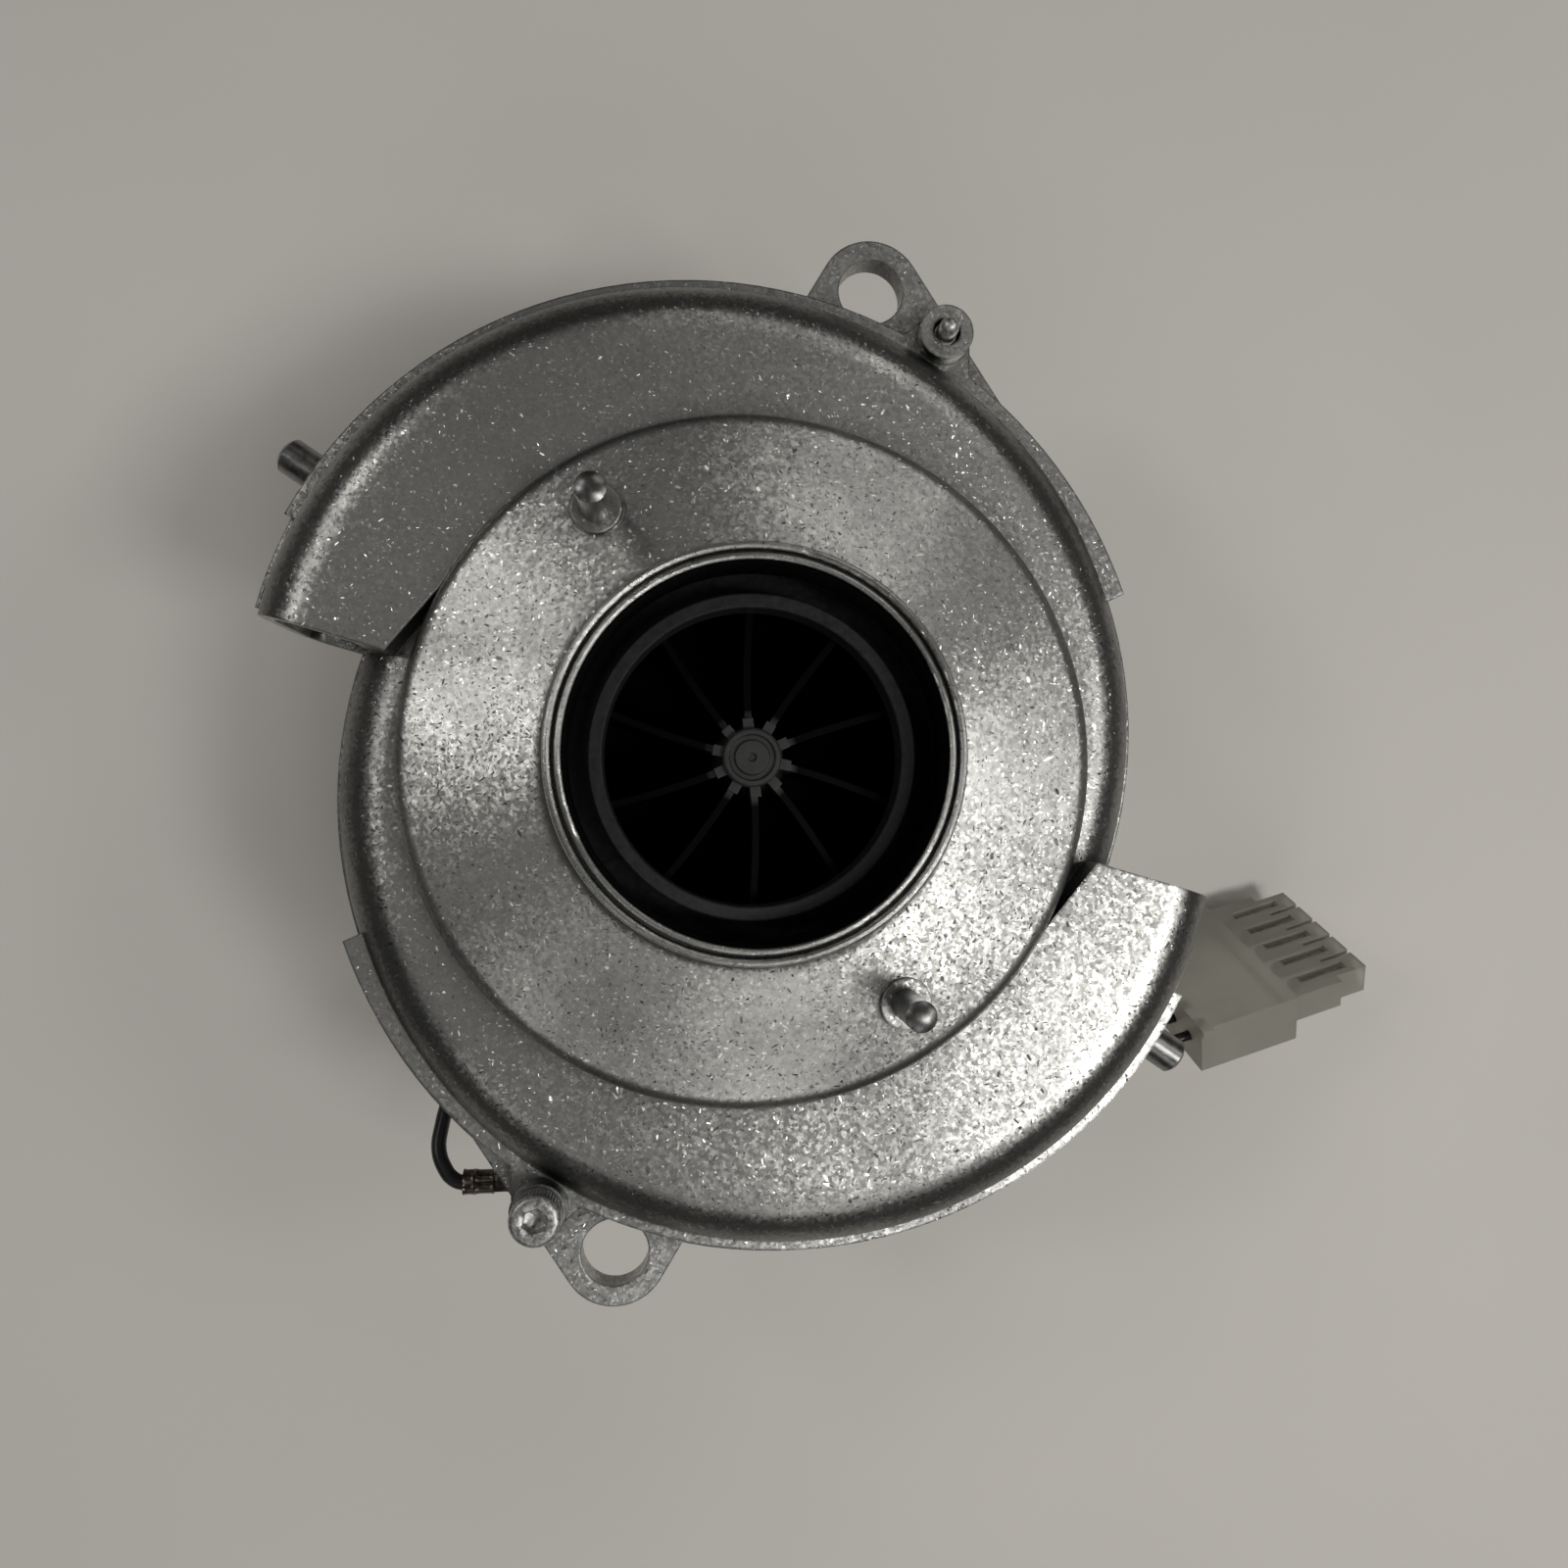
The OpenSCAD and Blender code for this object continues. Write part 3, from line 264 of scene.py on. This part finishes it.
def tumbledCasting(name, look):
    material, tree, shader = startMaterial(name)
    plain = partCoords(tree)
    patch = noise(tree, plain, look["patch"], detail=4.0)
    grain = noise(tree, plain, look["grain"], detail=4.0, rough=0.7)
    smooth = roundedEdges(tree, look["edge"])
    reach = axisReach(tree, plain)
    lip = remap(tree, heightOf(tree, plain), look["lipZ"] - look["lipBlend"], look["lipZ"] + look["lipBlend"])
    lean = stretched(tree, cellPattern(tree, plain, look["facets"])[1], look["facetTilt"])
    tone = combine(tree, "ADD", combine(tree, "MULTIPLY", patch, look["patchShare"]),
                   combine(tree, "MULTIPLY", grain, look["grainShare"]))
    for nick in look["nicks"]:
        mask, tilt, shade = nickLayer(tree, plain, nick)
        lean = vectors(tree, "ADD", lean, tilt)
        change = combine(tree, "MULTIPLY", mask, combine(tree, "SUBTRACT", shade, look["nickMiddle"]))
        tone = combine(tree, "ADD", tone, combine(tree, "MULTIPLY", change, look["nickTone"]))
    lean = stretched(tree, lean, remap(tree, lip, 0.0, 1.0, 1.0, look["lipTilt"]))
    normal = vectors(tree, "NORMALIZE", vectors(tree, "ADD", smooth, lean))
    colour = colourRamp(tree, tone, castTones(look))
    # painted crease shade, partly dirt
    colour = shaded(tree, colour, creaseDirtAndShade(tree, look["creaseShadeReach"], look["creaseShadeSpan"], look["creaseShadeDarkest"]))
    # painted shade on shoulders and steps, set by their slope
    colour = shaded(tree, colour, slopePaintedShade(tree, smooth, reach, lip, look))
    # painted shade in the inlet bore
    tree.links.new(shaded(tree, colour, borePaintedShade(tree, reach, look)), shader.inputs["Base Color"])
    shader.inputs["Metallic"].default_value = 1.0
    dullest, brightest = (look["rough"] * share for share in look["roughSpread"])
    rough = remap(tree, tone, *look["roughSpan"], dullest, brightest)
    rough = combine(tree, "MULTIPLY", rough, remap(tree, lip, 0.0, 1.0, 1.0, look["lipRough"]))
    tree.links.new(rough, shader.inputs["Roughness"])
    bumpFrom(tree, shader, grain, look["relief"], look["reliefDepth"], normal)
    return material


# plain small finishes: a colour that varies a little, with its own grain
smallSurface = {"edge": 0.00015, "depth": 0.0001, "roughSpread": (0.85, 1.15)}
smallLooks = {
    "groundPinSteel": {"colour": (0.22, 0.22, 0.215), "metal": 1.0, "rough": 0.32, "grain": 900.0,
                       "contrast": 0.35, "relief": 0.25},
    "zincScrewSteel": {"colour": (0.50, 0.50, 0.49), "metal": 1.0, "rough": 0.40, "grain": 1800.0,
                       "contrast": 0.45, "relief": 0.6},
    "tinnedCrimp": {"colour": (0.13, 0.112, 0.09), "metal": 1.0, "rough": 0.30, "grain": 1200.0,
                    "contrast": 0.5, "relief": 0.5},
    "ringBlack": {"colour": (0.022, 0.022, 0.023), "metal": 0.0, "rough": 0.45, "grain": 900.0,
                  "contrast": 0.35, "relief": 0.2, "shine": 0.4},
    "shaftSteel": {"colour": (0.5, 0.5, 0.52), "metal": 1.0, "rough": 0.3, "grain": 1200.0,
                   "contrast": 0.2, "relief": 0.2},
    "bearingSteel": {"colour": (0.66, 0.66, 0.66), "metal": 1.0, "rough": 0.14, "grain": 1500.0,
                     "contrast": 0.1, "relief": 0.05},
    "drawnCanSteel": {"colour": (0.42, 0.43, 0.44), "metal": 1.0, "rough": 0.38, "grain": 300.0,
                      "contrast": 0.18, "relief": 0.15},
    "coreSheet": {"colour": (0.28, 0.29, 0.31), "metal": 1.0, "rough": 0.45, "grain": 800.0,
                  "contrast": 0.2, "relief": 0.2},
    "insulatorIvory": {"colour": (0.72, 0.68, 0.55), "metal": 0.0, "rough": 0.45, "grain": 500.0,
                       "contrast": 0.08, "relief": 0.1},
    "enamelledCopper": {"colour": (0.52, 0.22, 0.09), "metal": 0.8, "rough": 0.3, "grain": 2500.0,
                        "contrast": 0.3, "relief": 0.6},
    "ferriteRing": {"colour": (0.07, 0.07, 0.075), "metal": 0.2, "rough": 0.6, "grain": 1500.0,
                    "contrast": 0.3, "relief": 0.3},
    "boardResist": {"colour": (0.02, 0.13, 0.05), "metal": 0.0, "rough": 0.3, "grain": 400.0,
                    "contrast": 0.2, "relief": 0.1, "coat": 0.4},
    "componentBlack": {"colour": (0.02, 0.02, 0.02), "metal": 0.0, "rough": 0.45, "grain": 900.0,
                       "contrast": 0.2, "relief": 0.2},
    "grommetRubber": {"colour": (0.018, 0.018, 0.018), "metal": 0.0, "rough": 0.6, "grain": 600.0,
                      "contrast": 0.3, "relief": 0.2},
    "wireBlack": {"colour": (0.010, 0.010, 0.011), "metal": 0.0, "rough": 0.35, "grain": 500.0,
                  "contrast": 0.3, "relief": 0.1},
    "contactTin": {"colour": (0.66, 0.65, 0.6), "metal": 1.0, "rough": 0.3, "grain": 1200.0,
                   "contrast": 0.15, "relief": 0.1},
}


def smallFinish(name, look):
    material, tree, shader = startMaterial(name)
    grain = noise(tree, partCoords(tree), look["grain"], detail=4.0, rough=0.6)
    low = [c * (1 - look["contrast"]) for c in look["colour"]]
    high = [min(1.0, c * (1 + look["contrast"])) for c in look["colour"]]
    tree.links.new(mottled(tree, grain, low, high), shader.inputs["Base Color"])
    shader.inputs["Metallic"].default_value = look["metal"]
    smoothest, roughest = (look["rough"] * share for share in smallSurface["roughSpread"])
    tree.links.new(remap(tree, grain, *noiseSpan, smoothest, roughest), shader.inputs["Roughness"])
    shader.inputs["Coat Weight"].default_value = look.get("coat", 0.0)
    shader.inputs["Specular IOR Level"].default_value = look.get("shine", 0.5)
    edges = roundedEdges(tree, smallSurface["edge"])
    bumpFrom(tree, shader, grain, look["relief"], smallSurface["depth"], edges)
    return material


# black moulding of the fan, paler and shinier at its hub
fanLook = {
    "hub": 0.038, "blade": 0.002, "hubR": 0.0052, "rootR": 0.0064, "hubShine": 0.6, "bladeShine": 0.06,
    "rough": 0.42, "grain": 700.0, "relief": 0.15,
    "cloudDark": (0.65, 0.65, 0.66), "cloudLight": (1.0, 1.0, 1.0),
}


def fanMoulding(look):
    material, tree, shader = startMaterial("fanMoulding")
    plain = partCoords(tree)
    grain = noise(tree, plain, look["grain"], detail=4.0, rough=0.6)
    reach = axisReach(tree, plain)
    tone = remap(tree, reach, look["hubR"], look["rootR"], look["hub"], look["blade"])
    cloud = mottled(tree, grain, look["cloudDark"], look["cloudLight"])
    tree.links.new(shaded(tree, cloud, tone), shader.inputs["Base Color"])
    shine = remap(tree, reach, look["hubR"], look["rootR"], look["hubShine"], look["bladeShine"])
    tree.links.new(shine, shader.inputs["Specular IOR Level"])
    shader.inputs["Roughness"].default_value = look["rough"]
    edges = roundedEdges(tree, smallSurface["edge"])
    bumpFrom(tree, shader, grain, look["relief"], smallSurface["depth"], edges)
    return material


# natural nylon of the plug
plugLook = {
    "colour": (0.69, 0.68, 0.60), "cloud": 120.0, "cloudTone": 0.86, "rough": 0.42, "through": 0.55,
    "bend": 1.4, "grain": 700.0, "relief": 0.1, "edge": 0.00025,
}


def naturalNylon(look):
    material, tree, shader = startMaterial("naturalNylon")
    plain = partCoords(tree)
    cloud = noise(tree, plain, look["cloud"])
    low = [c * look["cloudTone"] for c in look["colour"]]
    tree.links.new(mottled(tree, cloud, low, look["colour"]), shader.inputs["Base Color"])
    shader.inputs["Roughness"].default_value = look["rough"]
    shader.inputs["Transmission Weight"].default_value = look["through"]
    shader.inputs["IOR"].default_value = look["bend"]
    grain = noise(tree, plain, look["grain"])
    bumpFrom(tree, shader, grain, look["relief"], smallSurface["depth"], roundedEdges(tree, look["edge"]))
    return material


finish = {name: smallFinish(name, look) for name, look in smallLooks.items()}
finish["tumbledCasting"] = tumbledCasting("tumbledCasting", castLook)
finish["capCasting"] = tumbledCasting("capCasting", capLook)
finish["fanMoulding"] = fanMoulding(fanLook)
finish["naturalNylon"] = naturalNylon(plugLook)

# which solids of the frame wear which finish
wearers = {
    "tumbledCasting": ("scroll_cover", "scroll_housing"),
    "capCasting": ("end_cap",),
    "groundPinSteel": ("locating_dowels", "side_pins"),
    "zincScrewSteel": ("front_casing_screw", "rear_casing_screw", "earth_washer", "earth_nut", "can_screws",
                       "end_cap_screws", "board_screws"),
    "tinnedCrimp": ("earth_terminal",),
    "fanMoulding": ("impeller_disc",),
    "ringBlack": ("impeller_shroud",),
    "shaftSteel": ("shaft", "shaft_sleeves", "preload_spring"),
    "bearingSteel": ("front_bearing_outer", "front_bearing_inner", "front_bearing_balls",
                     "rear_bearing_outer", "rear_bearing_inner", "rear_bearing_balls"),
    "drawnCanSteel": ("motor_can",),
    "coreSheet": ("stator_core", "rotor_core"),
    "insulatorIvory": ("slot_insulators",),
    "enamelledCopper": ("stator_coils",),
    "ferriteRing": ("magnet_ring",),
    "boardResist": ("circuit_board",),
    "componentBlack": ("board_components",),
    "grommetRubber": ("lead_grommet", "earth_bush"),
    "naturalNylon": ("plug_housing",),
    "contactTin": ("plug_contacts",),
    "wireBlack": ("motor_wire_1", "motor_wire_2", "motor_wire_3", "motor_wire_4", "motor_wire_5",
                  "earth_lead"),
}
for finishName, nodeNames in wearers.items():
    for nodeName in nodeNames:
        mesh = nodes[nodeName].data
        mesh.materials.clear()
        mesh.materials.append(finish[finishName])
print("finishes on", sum(len(nodeNames) for nodeNames in wearers.values()), "solids")


# leads: round wires on smooth curves
wireForm = {"roundness": 5, "steps": 10}


def layWire(name, points, thickness):
    curve = bpy.data.curves.new(name, "CURVE")
    curve.dimensions = "3D"
    curve.bevel_depth = thickness / 2
    curve.bevel_resolution = wireForm["roundness"]
    curve.resolution_u = wireForm["steps"]
    curve.use_fill_caps = True
    spline = curve.splines.new("BEZIER")
    spline.bezier_points.add(len(points) - 1)
    for knot, point in zip(spline.bezier_points, points):
        knot.co = point
        knot.handle_left_type = "AUTO"
        knot.handle_right_type = "AUTO"
    curve.materials.append(finish["wireBlack"])
    wire = bpy.data.objects.new(name, curve)
    bpy.context.collection.objects.link(wire)
    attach(wire, "housing")
    return wire


motorLead = {
    "wires": 5, "thickness": 0.0018, "canPitch": 0.0021, "plugPitch": 0.00508,
    "canAngle": -55, "canHeight": 0.016, "canStart": 0.0306, "canMouth": 0.0329,
    "plugPlace": (0.0843, -0.0539, 0.025526), "plugTurn": (-59, 2, 16.5),
    "plugWidth": 0.029, "plugAxis": 0.005, "plugDepths": (-0.006, -0.0025, 0.003),
    "route": (
        (0.020, -0.0286, 0.016), (0.022, -0.0314, 0.016), (0.025, -0.0354, 0.016), (0.029, -0.0396, 0.0158),
        (0.034, -0.0436, 0.0155), (0.040, -0.0468, 0.0152), (0.046, -0.0486, 0.015), (0.052, -0.0492, 0.0148),
        (0.058, -0.0488, 0.0148), (0.064, -0.0476, 0.0148), (0.070, -0.0459, 0.0149)),
}
plugTurn = Euler(inRadians(motorLead["plugTurn"]), "XYZ").to_matrix()
plugPlace = Vector(motorLead["plugPlace"])


# the wires leave the can one above the other and fan out into a row at the plug
def motorWirePath(index):
    lead = motorLead
    spread = index - (lead["wires"] - 1) / 2
    angle = math.radians(lead["canAngle"])
    out = Vector((math.cos(angle), math.sin(angle), 0))
    height = Vector((0, 0, lead["canHeight"] - spread * lead["canPitch"]))
    points = [out * lead["canStart"] + height, out * lead["canMouth"] + height]
    stack = Vector((0, 0, -lead["canPitch"]))
    row = plugTurn @ Vector((0, lead["plugPitch"], 0))
    last = len(lead["route"]) - 1
    for k, place in enumerate(lead["route"]):
        t = ease(k / last)
        points.append(Vector(place) + spread * ((1 - t) * stack + t * row))
    for depth in lead["plugDepths"]:
        local = Vector((depth, lead["plugWidth"] / 2 + spread * lead["plugPitch"], lead["plugAxis"]))
        points.append(plugPlace + plugTurn @ local)
    return points


for index in range(motorLead["wires"]):
    path = motorWirePath(index)
    wire = layWire("motorWire%d" % (index + 1), path, motorLead["thickness"])
    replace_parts(wire, "motor_wire_%d" % (index + 1))

earthLead = {
    "thickness": 0.0022,
    "route": (
        (-0.03773, -0.061614, 0.0522), (-0.04163, -0.061614, 0.0522), (-0.0430, -0.0609, 0.05205),
        (-0.0438, -0.060, 0.0518), (-0.045, -0.0572, 0.051), (-0.0448, -0.0536, 0.0496),
        (-0.044, -0.0496, 0.0474), (-0.043, -0.0454, 0.0448), (-0.0414, -0.041, 0.0424),
        (-0.0392, -0.0362, 0.0402), (-0.0366, -0.031, 0.0382), (-0.034, -0.026, 0.0368),
        (-0.0330, -0.0241, 0.0363), (-0.031537, -0.022083, 0.036), (-0.027769, -0.019444, 0.036),
        (-0.025967, -0.018182, 0.036)),
}
earthPath = [Vector(point) for point in earthLead["route"]]
earthWire = layWire("earthWire", earthPath, earthLead["thickness"])
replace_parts(earthWire, "earth_lead")
print("leads laid")


# small helpers for turned and folded metal
def bridge(bm, low, high):
    for k in range(len(low)):
        n = (k + 1) % len(low)
        bm.faces.new((low[k], low[n], high[n], high[k]))


def pointTo(bm, tip, loop):
    for k in range(len(loop)):
        bm.faces.new((loop[k], loop[(k + 1) % len(loop)], tip))


def circlePoints(radius, sides):
    angles = [2 * math.pi * k / sides for k in range(sides)]
    return [(radius * math.cos(angle), radius * math.sin(angle)) for angle in angles]


def finishMesh(bm, name, sharp):
    bmesh.ops.recalc_face_normals(bm, faces=bm.faces)
    mesh = bpy.data.meshes.new(name)
    bm.to_mesh(mesh)
    bm.free()
    mesh.shade_smooth()
    mesh.set_sharp_from_angle(angle=math.radians(sharp))
    return mesh


def addPiece(name, mesh, material, place=(0, 0, 0), turn=(0, 0, 0)):
    mesh.materials.append(material)
    mesh.transform(Matrix.Translation(place) @ Euler(inRadians(turn)).to_matrix().to_4x4())
    piece = bpy.data.objects.new(name, mesh)
    bpy.context.collection.objects.link(piece)
    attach(piece, "housing")
    return piece


# casing screws: knurled head with a hexagon socket, chamfered and threaded shank
lowerBoss = (-0.028731, -0.061614)
upperBoss = (0.028731, 0.061614)
capScrew = {
    "shankR": 0.00198, "pitch": 0.0007, "threadDepth": 0.00034, "tipSteps": 6, "sharp": 32,
    "headR": 0.0035, "headH": 0.004, "foot": 0.0003,
    "knurls": 48, "knurlDepth": 0.00016, "knurlFrom": 0.0004, "knurlTo": 0.0008,
    "crown": ((0.0006, 0.0), (0.0004, 0.0001), (0.0001, 0.0004), (0.0, 0.0007)),
    "socket": 0.003, "socketDepth": 0.002, "socketRim": 0.64, "socketLip": 0.0002, "socketPoint": 0.0006,
}
casingScrews = (
    {"name": "frontCapScrew", "node": "front_casing_screw", "place": (*lowerBoss, 0.067),
     "turn": (0, 0, 20), "shank": 0.0198, "threaded": 0.005},
    {"name": "rearCapScrew", "node": "rear_casing_screw", "place": (*upperBoss, 0.053),
     "turn": (180, 0, 0), "shank": 0.013, "threaded": 0.003, "point": (0.004, 0.0014)},
)


def latheMesh(name, rings, sides, sharp):
    bm = bmesh.new()
    loops = []
    for height, radius in rings:
        if radius == 0:
            loops.append([bm.verts.new((0, 0, height))])
            continue
        loop = []
        for k, (x, y) in enumerate(circlePoints(1.0, sides)):
            r = radius(k, 2 * math.pi * k / sides) if callable(radius) else radius
            loop.append(bm.verts.new((r * x, r * y, height)))
        loops.append(loop)
    for low, high in zip(loops, loops[1:]):
        if len(low) == 1:
            pointTo(bm, low[0], high)
        elif len(high) == 1:
            pointTo(bm, high[0], low)
        else:
            bridge(bm, low, high)
    return finishMesh(bm, name, sharp)


def knurlRadius(k, angle):
    return capScrew["headR"] - capScrew["knurlDepth"] * (k % 2)


def socketRadius(k, angle):
    return capScrew["socket"] / 2 / math.cos((angle % (math.pi / 3)) - math.pi / 6)


# rings of height and radius, from the screw's tip up to its head and down into the socket
def capScrewRings(shank, threaded, point):
    s = capScrew
    rings = []
    if point:
        tipLong, tipR = point
        rings.append((-shank - tipLong, 0))
        for step in range(1, s["tipSteps"] + 1):
            swing = step / s["tipSteps"] * math.pi / 2
            rings.append((-shank - tipLong + tipR * (1 - math.cos(swing)), tipR * math.sin(swing)))
        rings.append((-shank, tipR))
    else:
        rings.append((-shank, 0))
    rings.append((-shank, s["shankR"] - s["threadDepth"]))
    height = -shank + s["pitch"]
    while height < -shank + threaded:
        rings.append((height, s["shankR"]))
        rings.append((height + s["pitch"] / 2, s["shankR"] - s["threadDepth"]))
        height += s["pitch"]
    rings += [(height, s["shankR"]), (0, s["shankR"]), (0, s["headR"] - s["foot"]), (s["foot"], s["headR"]),
              (s["knurlFrom"], knurlRadius), (s["headH"] - s["knurlTo"], knurlRadius)]
    rings += [(s["headH"] - down, s["headR"] - inward) for down, inward in s["crown"]]
    floor = s["headH"] - s["socketDepth"]
    rings += [(s["headH"], s["socket"] * s["socketRim"]), (s["headH"] - s["socketLip"], socketRadius),
              (floor, socketRadius), (floor - s["socketPoint"], 0)]
    return rings


def drivenScrew(name, node, place, turn, shank, threaded, point=None):
    mesh = latheMesh(name, capScrewRings(shank, threaded, point), 2 * capScrew["knurls"], capScrew["sharp"])
    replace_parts(addPiece(name, mesh, finish["zincScrewSteel"], place, turn), node)


for screw in casingScrews:
    drivenScrew(**screw)
print("casing screws cut")


# earth terminal: ring tongue, neck and a crimp whose two wings roll in over the wire
crimpTerminal = {
    "place": (*lowerBoss, 0.0522), "ringR": 0.0038, "holeR": 0.00205, "sheet": 0.0008, "ringSides": 48,
    "neckFrom": 0.0030, "neckTo": 0.0082, "neckHalf": 0.0015, "neckDip": 0.0010, "neckCurl": 0.0007,
    "neckSteps": 6,
    "wires": {"from": 0.0080, "to": 0.0106, "outer": 0.00172, "fold": 0.00062},
    "grip": {"from": 0.0108, "to": 0.0124, "outer": 0.00178, "fold": 0.00040},
    "bore": 0.00118, "flare": 0.07, "foldSpread": 0.34, "barrelSides": 40, "barrelSteps": 8, "sharp": 40,
}


def crimpBarrel(bm, part, look):
    sides = look["barrelSides"]
    rows = []
    for step in range(look["barrelSteps"] + 1):
        t = step / look["barrelSteps"]
        x = part["from"] + t * (part["to"] - part["from"])
        flare = 1.0 + look["flare"] * (2 * t - 1) ** 6
        row = []
        for k in range(sides):
            angle = 2 * math.pi * k / sides
            off = (angle - math.pi / 2) / look["foldSpread"]
            r = part["outer"] * flare - part["fold"] * math.exp(-off * off)
            row.append(bm.verts.new((-x, r * math.cos(angle), r * math.sin(angle))))
        rows.append(row)
    for row, nextRow in zip(rows, rows[1:]):
        bridge(bm, row, nextRow)
    mouths = []
    for row in (rows[0], rows[-1]):
        mouth = [bm.verts.new((row[0].co.x, y, z)) for y, z in circlePoints(look["bore"], sides)]
        bridge(bm, row, mouth)
        mouths.append(mouth)
    bridge(bm, *mouths)


def ringTongue(bm, look):
    outline = ((look["holeR"], 0.0), (look["ringR"], 0.0),
               (look["ringR"], look["sheet"]), (look["holeR"], look["sheet"]))
    loops = []
    for radius, height in outline:
        loops.append([bm.verts.new((x, y, height)) for x, y in circlePoints(radius, look["ringSides"])])
    for low, high in zip(loops, loops[1:] + loops[:1]):
        bridge(bm, low, high)


def curledNeck(bm, look):
    half, sheet = look["neckHalf"], look["sheet"]
    rows = []
    for step in range(look["neckSteps"] + 1):
        t = step / look["neckSteps"]
        x = look["neckFrom"] + t * (look["neckTo"] - look["neckFrom"])
        dip = -look["neckDip"] * ease(t)
        side = dip + look["neckCurl"] * t * t
        under = ((-half, side), (0, dip), (half, side))
        over = [(y, z + sheet) for y, z in reversed(under)]
        rows.append([bm.verts.new((-x, y, z)) for y, z in (*under, *over)])
    for row, nextRow in zip(rows, rows[1:]):
        bridge(bm, row, nextRow)
    bm.faces.new(rows[0])
    bm.faces.new(rows[-1])


terminal = bmesh.new()
ringTongue(terminal, crimpTerminal)
curledNeck(terminal, crimpTerminal)
for part in (crimpTerminal["wires"], crimpTerminal["grip"]):
    crimpBarrel(terminal, part, crimpTerminal)
terminalMesh = finishMesh(terminal, "earthCrimp", crimpTerminal["sharp"])
earthCrimp = addPiece("earthCrimp", terminalMesh, finish["tinnedCrimp"],
                      crimpTerminal["place"])
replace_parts(earthCrimp, "earth_terminal")
print("earth terminal crimped")


# pale table and soft room light
room = {
    "table": (0.86, 0.83, 0.785), "tableSize": 3.0, "tableRough": 0.6, "cloud": 9.0, "cloudTone": 0.96,
    "ambient": 0.045, "ambientColour": (1.0, 0.98, 0.95),
    "lampColour": (1.0, 0.985, 0.955), "aim": (0, 0, 0.05),
}
roomLights = (
    {"name": "windowSoftbox", "place": (0.46, -0.25, 0.80), "size": (0.20, 0.20), "power": 1.7},
    {"name": "highSoftbox", "place": (0.26, -0.28, 0.90), "size": (0.20, 0.20), "power": 0.75},
    {"name": "rightSoftbox", "place": (0.74, 0.06, 0.72), "size": (0.24, 0.24), "power": 0.72},
    {"name": "backSoftbox", "place": (0.34, 0.66, 0.70), "size": (0.50, 0.30), "power": 0.56},
    {"name": "frontSoftbox", "place": (0.05, -0.75, 0.70), "size": (0.40, 0.30), "power": 0.46},
    {"name": "frontLeftSoftbox", "place": (-0.45, -0.55, 0.70), "size": (0.30, 0.30), "power": 0.22},
    {"name": "leftSoftbox", "place": (-0.58, 0.15, 0.66), "size": (0.10, 0.16), "power": 0.52},
    {"name": "backLeftSoftbox", "place": (-0.46, 0.41, 0.66), "size": (0.12, 0.16), "power": 0.28},
)


def paleTable():
    material, tree, shader = startMaterial("paleTable")
    cloud = noise(tree, partCoords(tree), room["cloud"])
    low = [c * room["cloudTone"] for c in room["table"]]
    tree.links.new(mottled(tree, cloud, low, room["table"]), shader.inputs["Base Color"])
    shader.inputs["Roughness"].default_value = room["tableRough"]
    return material


tableMesh = bpy.data.meshes.new("table")
half = room["tableSize"] / 2
corners = [(-half, -half, 0), (half, -half, 0), (half, half, 0), (-half, half, 0)]
tableMesh.from_pydata(corners, [], [(0, 1, 2, 3)])
tableMesh.materials.append(paleTable())
table = bpy.data.objects.new("table", tableMesh)
bpy.context.collection.objects.link(table)


def softbox(name, place, size, power):
    data = bpy.data.lights.new(name, "AREA")
    data.shape = "RECTANGLE"
    data.size, data.size_y = size
    data.energy = power
    data.color = room["lampColour"]
    lamp = bpy.data.objects.new(name, data)
    lamp.location = place
    lamp.rotation_euler = (Vector(room["aim"]) - Vector(place)).to_track_quat("-Z", "Y").to_euler()
    bpy.context.collection.objects.link(lamp)


for lamp in roomLights:
    softbox(**lamp)
world = bpy.data.worlds.new("room")
bpy.context.scene.world = world
world.use_nodes = True
background = world.node_tree.nodes["Background"]
background.inputs["Color"].default_value = (*room["ambientColour"], 1.0)
background.inputs["Strength"].default_value = room["ambient"]
bpy.context.scene.view_settings.view_transform = "Standard"
print("room lit")
